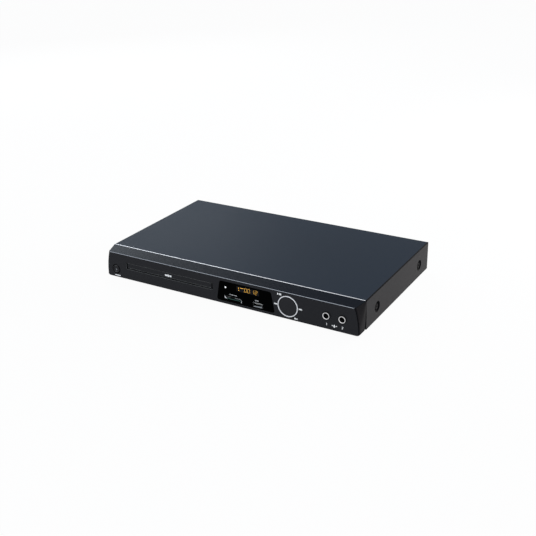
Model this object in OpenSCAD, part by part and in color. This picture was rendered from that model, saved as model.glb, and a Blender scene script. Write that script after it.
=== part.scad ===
// Slim disc player with a motor-driven tray, front sockets and two microphone jacks.
// Millimetres. +X is right, +Y is towards the back, +Z is up.
// The origin is on the floor, under the middle of the whole player.

/* [Case] */
// Width of the steel cover
case_w = 360; // [360:1:430]
// Depth of the steel cover, front seam to back edge
cover_d = 190; // [186:1:250]
// Height of the cover, without the feet
cover_h = 37; // [37:0.5:60]
// Thickness of the cover's sheet
cover_t = 0.8; // [0.6:0.1:1.2]
// Height of the cover's rear lip
lip_h = 7; // [6:0.5:9]
// Thickness of the base pan's sheet
pan_t = 1; // [0.8:0.1:1.2]
// Thickness of the rear panel's sheet
rear_t = 0.8; // [0.6:0.1:1.2]
// Height of each rubber foot
foot_h = 4; // [3:0.5:8]
// Radius of each rubber foot
foot_r = 10; // [7:0.5:12]
// Distance of the feet from the cover's sides, front and back
foot_inset = 28; // [20:1:40]
// Outer radius of the pressed cup round each side screw
cup_r = 7; // [6:0.5:8]
// Radius of the cup's flat floor
cup_floor_r = 4.6; // [4:0.1:5]
// Depth of the cup
cup_d = 2.5; // [2.2:0.1:3]
// Distance of the side screws from the cover's front and back edges
side_screw_inset = 30; // [24:1:60]
// Height of the side screws above the cover's bottom edge
side_screw_up = 16; // [14:0.5:18]

/* [Fascia] */
// Depth of the moulded fascia in front of the seam
fascia_d = 19; // [17:0.5:24]
// Wall thickness of the fascia
fascia_wall = 2.4; // [2:0.1:2.8]
// How much lower the face's top edge is than the cover
bevel_drop = 2.7; // [1.5:0.1:4]
// How far the face's top corners curve in from the cover's sides
face_in_top = 5; // [3:0.1:8]
// How far the face's bottom corners flare out past the cover's sides
face_out_low = 0.3; // [0:0.1:2]
// Radius of the fascia's upright front corners
fascia_corner_r = 2.2; // [2:0.1:5]
// Width of the open seam low on the fascia's sides
seam_gap = 2.2; // [1:0.1:3]
// Width of the bright trim strip at the seam
trim_w = 1.2; // [0.6:0.1:1.5]
// Depth of the bright trim strip
trim_h = 1.3; // [1:0.1:1.6]

/* [Front controls] */
// Power button centre from the cover's left side
power_in = 15; // [12:0.5:17]
// Power button centre above the cover's bottom edge
power_up = 11.5; // [11:0.5:13]
// Radius of the power button's cap
power_r = 5.4; // [5:0.1:6.5]
// Travel of the power button
power_travel = 0.8; // [0.4:0.1:0.8]
// Navigation pad centre from the middle
nav_x = 89.8; // [86:0.5:92]
// Navigation pad centre above the cover's bottom edge
nav_up = 16.9; // [16.5:0.1:17.5]
// Outer radius of the navigation ring
nav_ring_r = 13.3; // [13.2:0.1:14.5]
// Width of the navigation ring's band
nav_ring_w = 1.2; // [1.1:0.1:2.4]
// Largest tilt of the navigation pad about either axis, in degrees
nav_tilt = 2.5; // [1:0.5:2.5]
// Outer microphone jack centre from the cover's right side
mic_in = 20.3; // [19.5:0.1:23]
// Distance between the two microphone jacks
mic_pitch = 20; // [18:0.5:20]
// Microphone jack centre above the cover's bottom edge
mic_up = 17.4; // [16:0.1:19]
// Bore radius of a microphone jack, for a 6.35 mm plug
mic_bore_r = 3.25; // [3.2:0.01:3.3]
// Depth of the microphone jack's bore, from its mouth
mic_bore_d = 30; // [26:0.5:32]
// Radius of the jack's threaded bush
mic_bush_r = 3.9; // [3.8:0.05:4]
// Outer radius of the chrome nut
mic_nut_r = 4.8; // [4.6:0.1:6]
// How far the chrome nut stands out from the face
mic_nut_out = 2; // [2:0.1:3.5]

/* [Display window] */
// Window centre from the middle
win_x = 31.7; // [31:0.1:33]
// Half width of the window at its top edge
win_top_half = 35.5; // [33:0.1:37]
// Half width of the window at its bottom edge
win_low_half = 40.2; // [38:0.1:41]
// Window's top edge above the cover's bottom edge
win_top_up = 29.8; // [29.5:0.1:31]
// Window's bottom edge above the cover's bottom edge
win_low_up = 4; // [3.6:0.1:4.2]
// Thickness of the window plate
win_t = 1.5; // [1.4:0.1:1.9]
// Radius of the window's corners
win_corner_r = 2.5; // [1:0.1:4]
// Display centre from the middle
lcd_x = 35.8; // [35:0.1:37]
// Display centre above the cover's bottom edge
lcd_up = 24.5; // [24:0.1:25]
// Display width
lcd_w = 31; // [28:0.5:33]
// Display height
lcd_h = 6.8; // [6:0.1:7.2]
// Remote control eye from the middle
eye_x = 5; // [4:0.1:8]
// Remote control eye above the cover's bottom edge
eye_up = 23; // [22:0.1:24]
// Radius of the remote control eye
eye_r = 1.8; // [1.2:0.1:2.2]
// Memory card slot centre from the middle
sd_x = 14.5; // [14.5:0.1:16]
// Memory card slot centre above the cover's bottom edge
sd_up = 9.7; // [9.5:0.1:10.5]
// Width of the memory card slot
sd_w = 24.4; // [24.2:0.1:25]
// Height of the memory card slot
sd_h = 2.6; // [2.3:0.1:2.8]
// USB socket centre from the middle
usb_x = 49.2; // [48:0.1:50]
// USB socket centre above the cover's bottom edge
usb_up = 8.5; // [8.4:0.1:9]
// Inner width of the USB socket
usb_w = 12.5; // [12.2:0.1:12.8]
// Inner height of the USB socket
usb_h = 5.1; // [5:0.1:5.3]

/* [Disc tray] */
// Middle of the tray, loader and disc from the cover's left side
loader_in = 99; // [97:0.5:100]
// Width of the tray's door
door_w = 132; // [131:0.5:134]
// Height of the tray's door
door_h = 8; // [7.5:0.1:8.2]
// Thickness of the tray's door
door_t = 3; // [2.4:0.1:3.4]
// Door centre above the cover's bottom edge
door_up = 19.3; // [19:0.1:20]
// Gap round the door in the fascia's slot
door_gap = 0.5; // [0.4:0.1:0.8]
// Width of the disc tray
tray_w = 128; // [126:0.5:129]
// Length of the disc tray behind its door
tray_l = 162; // [160:1:165]
// Thickness of the disc tray
tray_t = 4.7; // [4.5:0.1:5]
// Travel of the disc tray
tray_travel = 136; // [100:1:138]
// Radius of the recess for a full-size disc
disc_recess_r = 60.8; // [60.5:0.1:61.5]
// Depth of the recess for a full-size disc
disc_recess_d = 2.2; // [1.8:0.1:2.4]
// Radius of the inner recess for a small disc
small_recess_r = 40.8; // [40.5:0.1:41.5]
// Extra depth of the inner recess
small_recess_d = 0.7; // [0.5:0.1:0.9]
// Disc centre behind the face with the tray shut
disc_in = 71.5; // [70.5:0.5:72]

/* [Loading drive] */
// Belt centre-line radius on the large pulley
big_belt_r = 10; // [9:0.1:10]
// Belt centre-line radius on the motor pulley
small_belt_r = 3; // [2.8:0.1:3.4]
// Width of the square drive belt
belt_w = 1.4; // [1.2:0.1:1.6]
// Radius of the loading motor
motor_r = 10; // [8:0.1:10]

/* [Disc deck] */
// Tilt of the deck between lowered and raised, in degrees
deck_tilt = 3; // [2.6:0.1:3]
// Travel of the cam slider that raises the deck
cam_travel = 12; // [10:0.5:12]
// Radius of the turntable's platter
platter_r = 14; // [12:0.5:14]
// Radius of the turntable's centring boss, for a 15 mm disc hole
boss_r = 7.4; // [7.3:0.05:7.45]
// Radius of the spindle motor
spindle_motor_r = 12; // [10:0.5:12]
// Radius of the pickup's lens
lens_r = 2.6; // [2:0.1:3]
// Distance from disc centre to lens at the innermost track
pickup_r_in = 24; // [24:0.5:25]
// Travel of the pickup along its rods
pickup_travel = 34; // [30:0.5:34]
// Radius of the guide rods
rod_r = 1.5; // [1:0.1:1.5]
// Focus travel of the lens each way
focus_travel = 0.4; // [0.2:0.1:0.4]
// Lead of the sled screw
sled_lead = 3; // [2:0.5:4]

/* [Rear sockets] */
// Outer radius of a phono jack's shell
phono_r = 4.15; // [4.1:0.01:4.2]
// How far the phono jacks stand out behind the cover
phono_out = 9; // [7:0.5:11]
// Distance between phono jacks
phono_pitch = 14; // [13:0.5:14]
// First phono jack from the middle
phono_x = 22; // [21:0.5:24]
// Height of the phono jacks above the cover's bottom edge
phono_up = 14.5; // [14:0.1:16]
// HDMI socket from the cover's right side
hdmi_in = 66; // [64:0.5:67]
// Mains inlet from the cover's right side
inlet_in = 30; // [26:0.5:34]
// Mains inlet above the cover's bottom edge
inlet_up = 15; // [14:0.5:20]

/* [Hidden] */

$fn = 48;
eps = 0.01;           // overshoot of a cut past the face that it opens
slip = 0.2;           // gap between fitted parts that don't move
run_gap = 0.3;        // gap between parts that move past each other
pin_gap = 0.05;       // radial clearance of a shaft in its bore

// Main levels and faces of the case
base_z = foot_h;
pan_top = base_z + pan_t;
top_z = base_z + cover_h;
lid_z = top_z - cover_t;
total_d = mic_nut_out + fascia_d + cover_d + phono_out;
face_y = mic_nut_out - total_d / 2;
seam_y = face_y + fascia_d;
back_y = seam_y + cover_d;
panel_y = back_y - cover_t;              // outer face of the rear panel
panel_in_y = panel_y - rear_t;           // inner face of the rear panel
power_x = power_in - case_w / 2;
loader_x = loader_in - case_w / 2;
mic_x = case_w / 2 - mic_in - mic_pitch; // inner microphone jack
hdmi_x = case_w / 2 - hdmi_in;
inlet_x = case_w / 2 - inlet_in;
inner_half = case_w / 2 - cover_t - slip;
flange_x = case_w / 2 - cup_d - cover_t; // outer face of the pan's side flanges
wall_in_y = face_y + fascia_wall;        // inner face of the fascia's front wall
side_screw_z = base_z + side_screw_up;
side_screw_ys = [seam_y + side_screw_inset, back_y - side_screw_inset];

// Fasteners
screw_r = 1.5;
screw_hole_r = screw_r + pin_gap;
screw_head_r = 3.4;
screw_head_t = 1.8;
rear_screw_xs = [loader_x - 69, loader_x + 21, 4, inlet_x - 16, case_w / 2 - 10];
rear_low_screw_xs = [loader_x - 59, loader_x + 41, inlet_x - 18];
rear_low_up = 5;
rear_high_z = top_z - lip_h / 2;
foot_xs = [-case_w / 2 + foot_inset, case_w / 2 - foot_inset];
foot_ys = [seam_y + foot_inset, back_y - foot_inset];

// Boards
upstand_top = base_z + 24;               // top of the pan's front upstands
clip_xs = [nav_x + 4.2, nav_x + 22.2];
board_t = 1.6;
standoff_h = 5;
board_z = pan_top + standoff_h;          // underside of the flat boards
board_top = board_z + board_t;
power_board_w = 44;
power_board_l = 100;
power_board_x = inner_half - power_board_w - 6.5;
main_x = loader_x + tray_w / 2 + 27;
main_w = power_board_x - main_x - 4.5;
main_l = power_board_l - 16;
main_y = panel_in_y - main_l - slip;
power_board_y = panel_in_y - power_board_l - 12;
front_board_y = face_y + 12;             // front face of the upright front board
front_board_x0 = -4;
front_board_x1 = nav_x + 32.2;
front_board_post_xs = [front_board_x0 + 3, front_board_x1 - 3];
front_board_post_z = base_z + 28;
shell_wall = 0.3;
usb_z = base_z + usb_up;
media_top = usb_z - usb_h / 2 - shell_wall; // top of the board for card and USB
media_z = media_top - board_t;
media_x = -4;
media_w = 64;
media_l = 36;
media_y = wall_in_y + 1;
mic_z = base_z + mic_up;
mic_body_w = 14;
mic_body_h = 13;
mic_board_z = mic_z - mic_body_h / 2 - board_t;
mic_board_y = wall_in_y + 2;
mic_board_l = 42;

// Loader: tray levels, drive and deck
door_z = base_z + door_up;
tray_top = door_z + 2.9;
tray_low = tray_top - tray_t;
tray_front_y = face_y + 0.5 + door_t;
spindle_y = face_y + disc_in;
tray_half = tray_w / 2;
rail_in = tray_half + 0.6;               // inner face of the loader's side walls
rail_t = 2.4;
frame_half = rail_in + rail_t;
frame_y = face_y + 8;
frame_low = pan_top + 1.5;
frame_floor_t = 1.8;
frame_floor = frame_low + frame_floor_t;
frame_top = tray_top + 1.8;
front_bay_l = 36;                        // length of the loader's front floor
rack_x = loader_x - 53;                  // pitch line of the tray's rack
rack_module = 1;
rack_pinion_teeth = 18;
wheel_module = 0.8;
drive_teeth = 42;                        // large wheel under the rack pinion
pulley_pinion_teeth = 12;                // pinion under the belt pulley
rack_r = rack_module * rack_pinion_teeth / 2;
drive_x = rack_x + rack_r;
drive_y = face_y + 23;
drive_r = wheel_module * drive_teeth / 2;
pulley_pinion_r = wheel_module * pulley_pinion_teeth / 2;
pulley_x = drive_x + drive_r + pulley_pinion_r;
motor_x = loader_x + 14;
gear_top = tray_low - run_gap;           // top of every wheel under the tray
upper_low = gear_top - 3;                // underside of the upper wheels
lower_top = upper_low - 1.6;             // top of the lower wheels
lower_low = lower_top - 2.8;
belt_z = gear_top - 1.5;                 // mid-height of the belt
gear_pin_r = 1.5;
deck_pivot_in = disc_in + 86;            // deck hinge behind the face
deck_pivot_y = face_y + deck_pivot_in;
frame_l = deck_pivot_y - frame_y + 14.5;
deck_pivot_z = frame_floor + 6.7;
deck_z = deck_pivot_z + 1;               // underside of the deck plate when level
deck_t = 1.2;
deck_half = 38;
deck_front_y = spindle_y - 24;
cam_y = deck_front_y - 4.25;             // mid-plane of the cam slider's wall
cam_wall = 2.5;
cam_pin_z = deck_pivot_z + 3;
cam_pin_r = 1.5;
cam_pin_xs = [-20, 20];
cam_arm = deck_pivot_y - cam_y;
cam_low_z = deck_pivot_z + 3 * cos(deck_tilt) - cam_arm * sin(deck_tilt);
disc_z = tray_top - 0.2;                 // platter's top when the deck is level
rod_z = deck_z - 2.8;
rod_xs = [-30, 26];
screw_x = 34;
sled_z = rod_z;
clamp_low = tray_top + run_gap;
collar_low = clamp_low + 3.7;
collar_t = 1.7;
collar_top = collar_low + collar_t;
bridge_half_l = 16;

// Colours
steel_dark = "#3b444e";
plastic_black = "#232427";
gloss_black = "#0b0c0e";
zinc = "#b9bdc0";
chrome = "#d9dcdf";
board_green = "#1f6b3a";
ivory = "#d8d5c8";
brass_col = "#c9a24a";

// ---------- Shared shapes ----------

// Box from a low corner to a high corner
module span(low, high) {
    translate(low) cube(high - low);
}

// Cylinder along Y from y0 to y1
module rod_y(x, y0, y1, z, r) {
    translate([x, y0, z]) rotate([-90, 0, 0]) cylinder(h = y1 - y0, r = r);
}

// Cylinder along X from x0 to x1
module rod_x(x0, x1, y, z, r) {
    translate([x0, y, z]) rotate([0, 90, 0]) cylinder(h = x1 - x0, r = r);
}

// Pan-head screw pointing along +Z, with a cross recess in its head
module screw(head_r, head_t, shank_r, shank_l) {
    difference() {
        union() {
            translate([0, 0, -head_t]) cylinder(h = head_t, r = head_r);
            cylinder(h = shank_l, r = shank_r);
        }
        for (turn = [0, 90])
            rotate([0, 0, turn])
                translate([-head_r * 0.55, -0.45, -head_t - eps])
                    cube([head_r * 1.1, 0.9, head_t * 0.5]);
    }
}

// Flat polygon with arcs of radius r at its corners, for convex outlines
module round_outline(points, r) {
    offset(r = r) offset(delta = -r) polygon(points);
}

// Point on the involute of a circle of radius rb, at roll angle t in degrees
function involute(rb, t) =
    let (arc = t * PI / 180)
    [rb * (cos(t) + arc * sin(t)), rb * (sin(t) - arc * cos(t))];

function turned(p, a) = [p[0] * cos(a) - p[1] * sin(a), p[0] * sin(a) + p[1] * cos(a)];

// Roll angle at which the involute reaches radius r
function roll_at(rb, r) = sqrt(max(0, (r / rb) * (r / rb) - 1)) * 180 / PI;

// Polar angle of the involute at radius r
function involute_angle(rb, r) =
    let (p = involute(rb, roll_at(rb, r))) atan2(p[1], p[0]);

// Spur gear outline with a tooth centred on +X, thinned by the backlash
module gear_outline(teeth, m, backlash = 0.16) {
    pitch_r = teeth * m / 2;
    rb = pitch_r * cos(20);
    tip_r = pitch_r + 0.9 * m;
    root_r = pitch_r - 1.15 * m;
    half = 90 / teeth - backlash / pitch_r * 90 / PI + involute_angle(rb, pitch_r);
    start_r = max(rb, root_r);
    steps = 4;
    flank = [for (i = [0:steps])
        let (r = start_r + (tip_r - start_r) * i / steps)
        turned(involute(rb, roll_at(rb, r)), -half)];
    polygon([for (k = [0:teeth - 1])
        let (a = k * 360 / teeth)
        for (p = concat(
            [turned([root_r, 0], -half)],
            flank,
            [for (i = [steps:-1:0]) [flank[i][0], -flank[i][1]]],
            [turned([root_r, 0], half)]))
        turned(p, a)]);
}

// Straight rack whose teeth face +X, with its pitch line at x = 0
module rack_outline(length, m, phase = 0, backlash = 0.16) {
    pitch = PI * m;
    half_tip = pitch / 4 - backlash / 2 - 0.9 * m * tan(20);
    half_root = pitch / 4 - backlash / 2 + 1.15 * m * tan(20);
    count = floor(length / pitch);
    union() {
        translate([-1.15 * m - 2, 0]) square([2 + eps, length]);
        for (k = [0:count - 1])
            translate([0, (k + 0.5) * pitch + phase])
                polygon([[-1.15 * m - eps, -half_root], [0.9 * m, -half_tip],
                         [0.9 * m, half_tip], [-1.15 * m - eps, half_root]]);
    }
}

// Turns children drawn with the deck level to the lowered rest position
module lowered() {
    translate([0, deck_pivot_y, deck_pivot_z])
        rotate([deck_tilt, 0, 0])
            translate([0, -deck_pivot_y, -deck_pivot_z])
                children();
}

// ---------- Case ----------

// Cup pressed into the cover's side, seen along the screw from outside
module side_cups(grow, over) {
    for (s = [0, 1])
        mirror([s, 0, 0])
            for (y = side_screw_ys)
                translate([case_w / 2 + over, y, side_screw_z])
                    rotate([0, -90, 0])
                        cylinder(h = cup_d + over + grow, r1 = cup_r, r2 = cup_floor_r + grow);
}

module top_cover() {
    color(steel_dark)
    difference() {
        union() {
            span([-case_w / 2, seam_y, lid_z], [case_w / 2, back_y, top_z]);
            for (s = [0, 1])
                mirror([s, 0, 0])
                    span([case_w / 2 - cover_t, seam_y, base_z], [case_w / 2, back_y, top_z]);
            span([-case_w / 2, back_y - cover_t, top_z - lip_h], [case_w / 2, back_y, top_z]);
            side_cups(cover_t, 0);
        }
        side_cups(0, eps);
        for (y = side_screw_ys)
            rod_x(-case_w / 2, case_w / 2, y, side_screw_z, screw_hole_r);
        for (x = rear_screw_xs)
            rod_y(x, panel_y - eps, back_y + eps, rear_high_z, screw_hole_r);
    }
}

// Hollow post under a board screw
module standoff(x, y, z0, z1) {
    translate([x, y, z0])
        difference() {
            cylinder(h = z1 - z0, r = 3);
            translate([0, 0, -eps]) cylinder(h = z1 - z0 + 2 * eps, r = 1.25);
        }
}

function corners(x, y, w, l, inset) =
    [for (i = [0, 1], j = [0, 1])
        [x + inset + i * (w - 2 * inset), y + inset + j * (l - 2 * inset)]];

board_inset = 4;
main_posts = corners(main_x, main_y, main_w, main_l - 14, board_inset);
power_posts = corners(power_board_x, power_board_y, power_board_w, power_board_l, board_inset);
frame_post_inset = 3.5;
frame_posts = corners(loader_x - frame_half - 7, seam_y + 6, 2 * frame_half + 14,
                      frame_l - 18, frame_post_inset);

module base_pan() {
    flange_top = side_screw_z + 10;
    color(zinc)
    difference() {
        union() {
            span([-inner_half, seam_y + slip, base_z], [inner_half, panel_in_y, pan_top]);
            for (s = [0, 1])
                mirror([s, 0, 0])
                    span([flange_x - pan_t, seam_y + 12, base_z],
                         [flange_x, panel_in_y - 8, flange_top]);
            // Front upstands that the fascia clips onto
            span([loader_x - frame_half - 24, seam_y + slip, base_z],
                 [loader_x - frame_half - 10, seam_y + slip + pan_t, upstand_top]);
            span([clip_xs[0] - 3, seam_y + slip, base_z],
                 [clip_xs[1] + 11, seam_y + slip + pan_t, upstand_top]);
            for (p = main_posts)
                standoff(p[0], p[1], pan_top - eps, board_z);
            for (p = power_posts)
                standoff(p[0], p[1], pan_top - eps, board_z);
            for (p = frame_posts)
                standoff(p[0], p[1], pan_top - eps, frame_low);
        }
        for (y = side_screw_ys)
            rod_x(-case_w / 2, case_w / 2, y, side_screw_z, screw_hole_r);
        for (x = foot_xs, y = foot_ys)
            translate([x, y, base_z - eps]) cylinder(h = pan_t + 2 * eps, r = screw_hole_r);
        // Cooling slots under the power board
        for (i = [0:6], j = [0:2])
            translate([power_board_x + 8 + j * 11, power_board_y + 14 + i * 8, base_z - eps])
                cube([8, 3, pan_t + 2 * eps]);
    }
}

inlet_w = 20.6;
inlet_h = 12.4;
hdmi_w = 15;
hdmi_h = 5.6;
phono_n = 6;
phono_z = base_z + phono_up;
phono_hole_r = phono_r + slip;
phono_neck_r = phono_r - 0.2;            // shell where it passes the panel and the collar
inlet_z = base_z + inlet_up;

module rear_panel() {
    color(zinc)
    difference() {
        span([-inner_half, panel_in_y, base_z], [inner_half, panel_y, lid_z - slip]);
        for (i = [0:phono_n - 1])
            rod_y(phono_x + i * phono_pitch, panel_in_y - eps, panel_y + eps, phono_z,
                  phono_hole_r);
        span([hdmi_x - hdmi_w / 2 - slip, panel_in_y - eps, board_top - slip],
             [hdmi_x + hdmi_w / 2 + slip, panel_y + eps, board_top + hdmi_h + slip]);
        span([inlet_x - inlet_w / 2 - slip, panel_in_y - eps, inlet_z - inlet_h / 2 - slip],
             [inlet_x + inlet_w / 2 + slip, panel_y + eps, inlet_z + inlet_h / 2 + slip]);
        for (x = rear_screw_xs)
            rod_y(x, panel_in_y - eps, panel_y + eps, rear_high_z, screw_hole_r);
        for (x = rear_low_screw_xs)
            rod_y(x, panel_in_y - eps, panel_y + eps, base_z + rear_low_up, screw_hole_r);
        // Cooling slots behind the loader
        for (i = [0:15], j = [0, 1])
            translate([loader_x - 69 + i * 8, panel_in_y - eps, base_z + 12 + j * 9])
                cube([3, rear_t + 2 * eps, 6]);
    }
}

module rubber_feet() {
    color("#17181a")
    for (x = foot_xs, y = foot_ys)
        translate([x, y, 0])
            difference() {
                cylinder(h = foot_h, r = foot_r);
                translate([0, 0, -eps]) cylinder(h = foot_h / 2 + 2 * eps, r = foot_r / 2);
                cylinder(h = foot_h + eps, r = screw_hole_r);
            }
}

module foot_screws() {
    color(zinc)
    for (x = foot_xs, y = foot_ys)
        translate([x, y, foot_h / 2]) screw(3, foot_h / 4, screw_r, foot_h / 2 + pan_t + 2);
}

module cover_screws() {
    color("#1c1d20")
    for (s = [0, 1])
        mirror([s, 0, 0])
            for (y = side_screw_ys)
                translate([case_w / 2 - cup_d, y, side_screw_z])
                    rotate([0, -90, 0]) screw(screw_head_r, screw_head_t, screw_r, 6);
}

module rear_screws() {
    color("#1c1d20") {
        for (x = rear_screw_xs)
            translate([x, back_y, rear_high_z])
                rotate([90, 0, 0]) screw(2.6, 1.4, screw_r, 6);
        for (x = rear_low_screw_xs)
            translate([x, panel_y, base_z + rear_low_up])
                rotate([90, 0, 0]) screw(2.6, 1.4, screw_r, 6);
    }
}

// ---------- Fascia ----------

// Closed outline of the fascia across X and Z. depth is the distance behind the face;
// skin moves the outline inwards.
module fascia_slice(depth, skin, thick) {
    back = min(1, depth / fascia_d);
    round_in = depth < fascia_corner_r
        ? fascia_corner_r - sqrt(pow(fascia_corner_r, 2) - pow(fascia_corner_r - depth, 2))
        : 0;
    top = top_z - bevel_drop * (1 - back) - skin;
    low = base_z + skin;
    foot_bevel = 1.2 + 0.6 * (1 - back);
    // Curved side, from the top (t = 0) down to the bevelled foot (t = 1)
    side = [for (i = [0:4]) let (t = i / 4)
        [case_w / 2 - round_in - skin
             + (1 - back) * (face_out_low * t - face_in_top * pow(1 - t, 2)),
         top - t * (top - low - foot_bevel)]];
    foot_half = side[4][0] - foot_bevel;
    translate([0, face_y + depth + thick, 0])
        rotate([90, 0, 0])
            linear_extrude(thick)
                polygon([[foot_half, low], for (i = [4:-1:0]) side[i],
                         for (p = side) [-p[0], p[1]], [-foot_half, low]]);
}

module fascia_body() {
    sliver = 0.02;
    difference() {
        hull() {
            for (depth = [0, 0.3, 0.9, 1.8, fascia_corner_r])
                fascia_slice(depth, 0, sliver);
            fascia_slice(fascia_d - sliver, 0, sliver);
        }
        hull() {
            fascia_slice(fascia_wall, fascia_wall, sliver);
            fascia_slice(fascia_corner_r + fascia_wall, fascia_wall, sliver);
            fascia_slice(fascia_d, fascia_wall, sliver);
        }
    }
}

win_z0 = base_z + win_low_up;
win_z1 = base_z + win_top_up;
sd_z = base_z + sd_up;
lcd_z = base_z + lcd_up;
eye_z = base_z + eye_up;
sd_mouth_w = sd_w + 2 * shell_wall + 2 * slip;
sd_mouth_h = sd_h + 1.6;
usb_mouth_w = usb_w + 2 * shell_wall + 2 * slip;
usb_mouth_h = usb_h + 2 * shell_wall + 2 * slip;
win_proud = 0.3;       // how far the window stands out from the face

// Window plate's outline, drawn across X and Z and extruded from y0 to y1
module window_shape(y0, y1, grow) {
    translate([0, y1, 0])
        rotate([90, 0, 0])
            linear_extrude(y1 - y0)
                offset(delta = grow)
                    round_outline([[win_x - win_low_half, win_z0], [win_x + win_low_half, win_z0],
                                   [win_x + win_top_half, win_z1],
                                   [win_x - win_top_half, win_z1]], win_corner_r);
}

// Card and USB mouths, cut through whatever lies between y0 and y1
module media_mouths(y0, y1) {
    span([sd_x - sd_mouth_w / 2, y0, sd_z - sd_mouth_h / 2],
         [sd_x + sd_mouth_w / 2, y1, sd_z + sd_mouth_h / 2]);
    span([usb_x - usb_mouth_w / 2, y0, usb_z - usb_mouth_h / 2],
         [usb_x + usb_mouth_w / 2, y1, usb_z + usb_mouth_h / 2]);
}

power_z = base_z + power_up;
power_ring_r = power_r + 0.8;            // dark moat round the button
power_sleeve_l = 3;
power_post_xs = [power_x - 5.5, power_x + 5.5];
power_post_z = power_z + 11;
power_board_front = face_y + 14;         // front of the small board behind the button
nav_z = base_z + nav_up;
nav_hole_r = nav_ring_r - nav_ring_w + 0.1;
nav_leg_in = 12.5;
nav_leg_out = 14.6;
nav_pivot_y = wall_in_y + 1.6;           // where both of the pad's hinge axes cross
nav_pin_r = 1;
nav_leg_end = nav_pivot_y + 2.2;
mic_xs = [mic_x, mic_x + mic_pitch];
mic_hole_r = mic_bush_r + slip;
slot_half_w = door_w / 2 + door_gap;
slot_half_h = door_h / 2 + door_gap;

module front_fascia() {
    color(plastic_black)
    difference() {
        union() {
            fascia_body();
            // Guide sleeve of the power button
            rod_y(power_x, wall_in_y - 0.5, wall_in_y + power_sleeve_l, power_z, power_r + 1.6);
            // Posts for the small board behind the button
            for (x = power_post_xs)
                rod_y(x, wall_in_y - 0.5, power_board_front, power_post_z, 2.2);
            // Legs that carry the pad's gimbal, on one diagonal
            for (s = [-1, 1])
                translate([nav_x, 0, nav_z])
                    rotate([0, -45, 0])
                        span([min(s * nav_leg_in, s * nav_leg_out), wall_in_y - 0.5, -2.4],
                             [max(s * nav_leg_in, s * nav_leg_out), nav_leg_end, 2.4]);
            // Clips that hook behind the pan's front upstands
            for (x = clip_xs) {
                span([x, seam_y - 5, upstand_top + 0.3], [x + 8, seam_y + 3, upstand_top + 2.5]);
                span([x, seam_y - 5, upstand_top + 0.3], [x + 8, seam_y - 3.4, lid_z - 0.6]);
            }
            // Posts of the front board
            for (x = front_board_post_xs)
                rod_y(x, wall_in_y - 0.5, front_board_y, front_board_post_z, 2.2);
        }
        // Tray slot
        span([loader_x - slot_half_w, face_y - 1, door_z - slot_half_h],
             [loader_x + slot_half_w, wall_in_y + 1, door_z + slot_half_h]);
        // Power button: moat in front, close guide behind
        rod_y(power_x, face_y - 1, face_y + 1.2, power_z, power_ring_r);
        rod_y(power_x, face_y, wall_in_y + power_sleeve_l + 1, power_z, power_r + 0.1);
        // Window pocket, display, eye and socket openings
        window_shape(face_y - 1, face_y + win_t - win_proud, slip);
        span([lcd_x - lcd_w / 2 - slip, face_y, lcd_z - lcd_h / 2 - slip],
             [lcd_x + lcd_w / 2 + slip, wall_in_y + 1, lcd_z + lcd_h / 2 + slip]);
        rod_y(eye_x, face_y, wall_in_y + 1, eye_z, eye_r + slip);
        media_mouths(face_y, wall_in_y + 1);
        // Navigation ring seat and pad hole
        rod_y(nav_x, face_y - 1, face_y + 0.8, nav_z, nav_ring_r + pin_gap);
        rod_y(nav_x, face_y, wall_in_y + 1, nav_z, nav_hole_r);
        translate([nav_x, 0, nav_z])
            rotate([0, -45, 0])
                rod_x(-nav_leg_out - 1, nav_leg_out + 1, nav_pivot_y, 0, nav_pin_r + pin_gap);
        for (x = mic_xs)
            rod_y(x, face_y - 1, wall_in_y + 1, mic_z, mic_hole_r);
        // Seam that opens towards the bottom of both sides
        for (x = [-case_w / 2, case_w / 2])
            hull() {
                span([x - 3, seam_y - seam_gap, base_z - 1], [x + 3, seam_y + 1, base_z]);
                span([x - 3, seam_y - eps, top_z - 7], [x + 3, seam_y + 1, top_z - 6]);
            }
        // Rebate for the bright trim strip
        span([-case_w / 2 - 1, seam_y - trim_w, top_z - trim_h],
             [case_w / 2 + 1, seam_y + 1, top_z + 1]);
    }
}

module fascia_trim() {
    color(chrome)
    span([-case_w / 2 + 0.3, seam_y - trim_w, top_z - trim_h],
         [case_w / 2 - 0.3, seam_y, top_z]);
}

module display_window() {
    color(gloss_black)
    difference() {
        window_shape(face_y - win_proud, face_y + win_t - win_proud, 0);
        media_mouths(face_y - 1, face_y + win_t);
    }
}

// ---------- Controls ----------

power_flange_y = wall_in_y + power_sleeve_l + slip;
key_body = 6;
key_body_h = 3.5;
key_plunger_r = 1.7;
key_plunger_h = 1;

module power_button() {
    color("#2a2b2f")
    difference() {
        union() {
            rod_y(power_x, face_y - 0.4, power_flange_y + 1, power_z, power_r);
            rod_y(power_x, power_flange_y, power_flange_y + 1, power_z, power_r + 1.2);
            rod_y(power_x, power_flange_y, power_board_front - key_body_h - key_plunger_h
                  - power_travel - 0.15, power_z, 2);
        }
        // Shallow dish in the cap
        rod_y(power_x, face_y - 0.4 - eps, face_y, power_z, power_r - 1.2);
    }
}

module power_key_board() {
    color(board_green)
    difference() {
        span([power_x - 8.5, power_board_front, base_z + 4],
             [power_x + 8, power_board_front + board_t, base_z + 27]);
        for (x = power_post_xs)
            rod_y(x, power_board_front - eps, power_board_front + board_t + eps,
                  power_post_z, 1.1);
    }
}

// Push switch whose plunger points at the face
module key_switch(x, y, z) {
    span([x - key_body / 2, y - key_body_h, z - key_body / 2],
         [x + key_body / 2, y, z + key_body / 2]);
    rod_y(x, y - key_body_h - key_plunger_h, y - key_body_h + 0.5, z, key_plunger_r);
}

nav_key_r = 8.6;
nav_key_dirs = [[1, 0], [0, 1], [-1, 0], [0, -1]];

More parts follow.
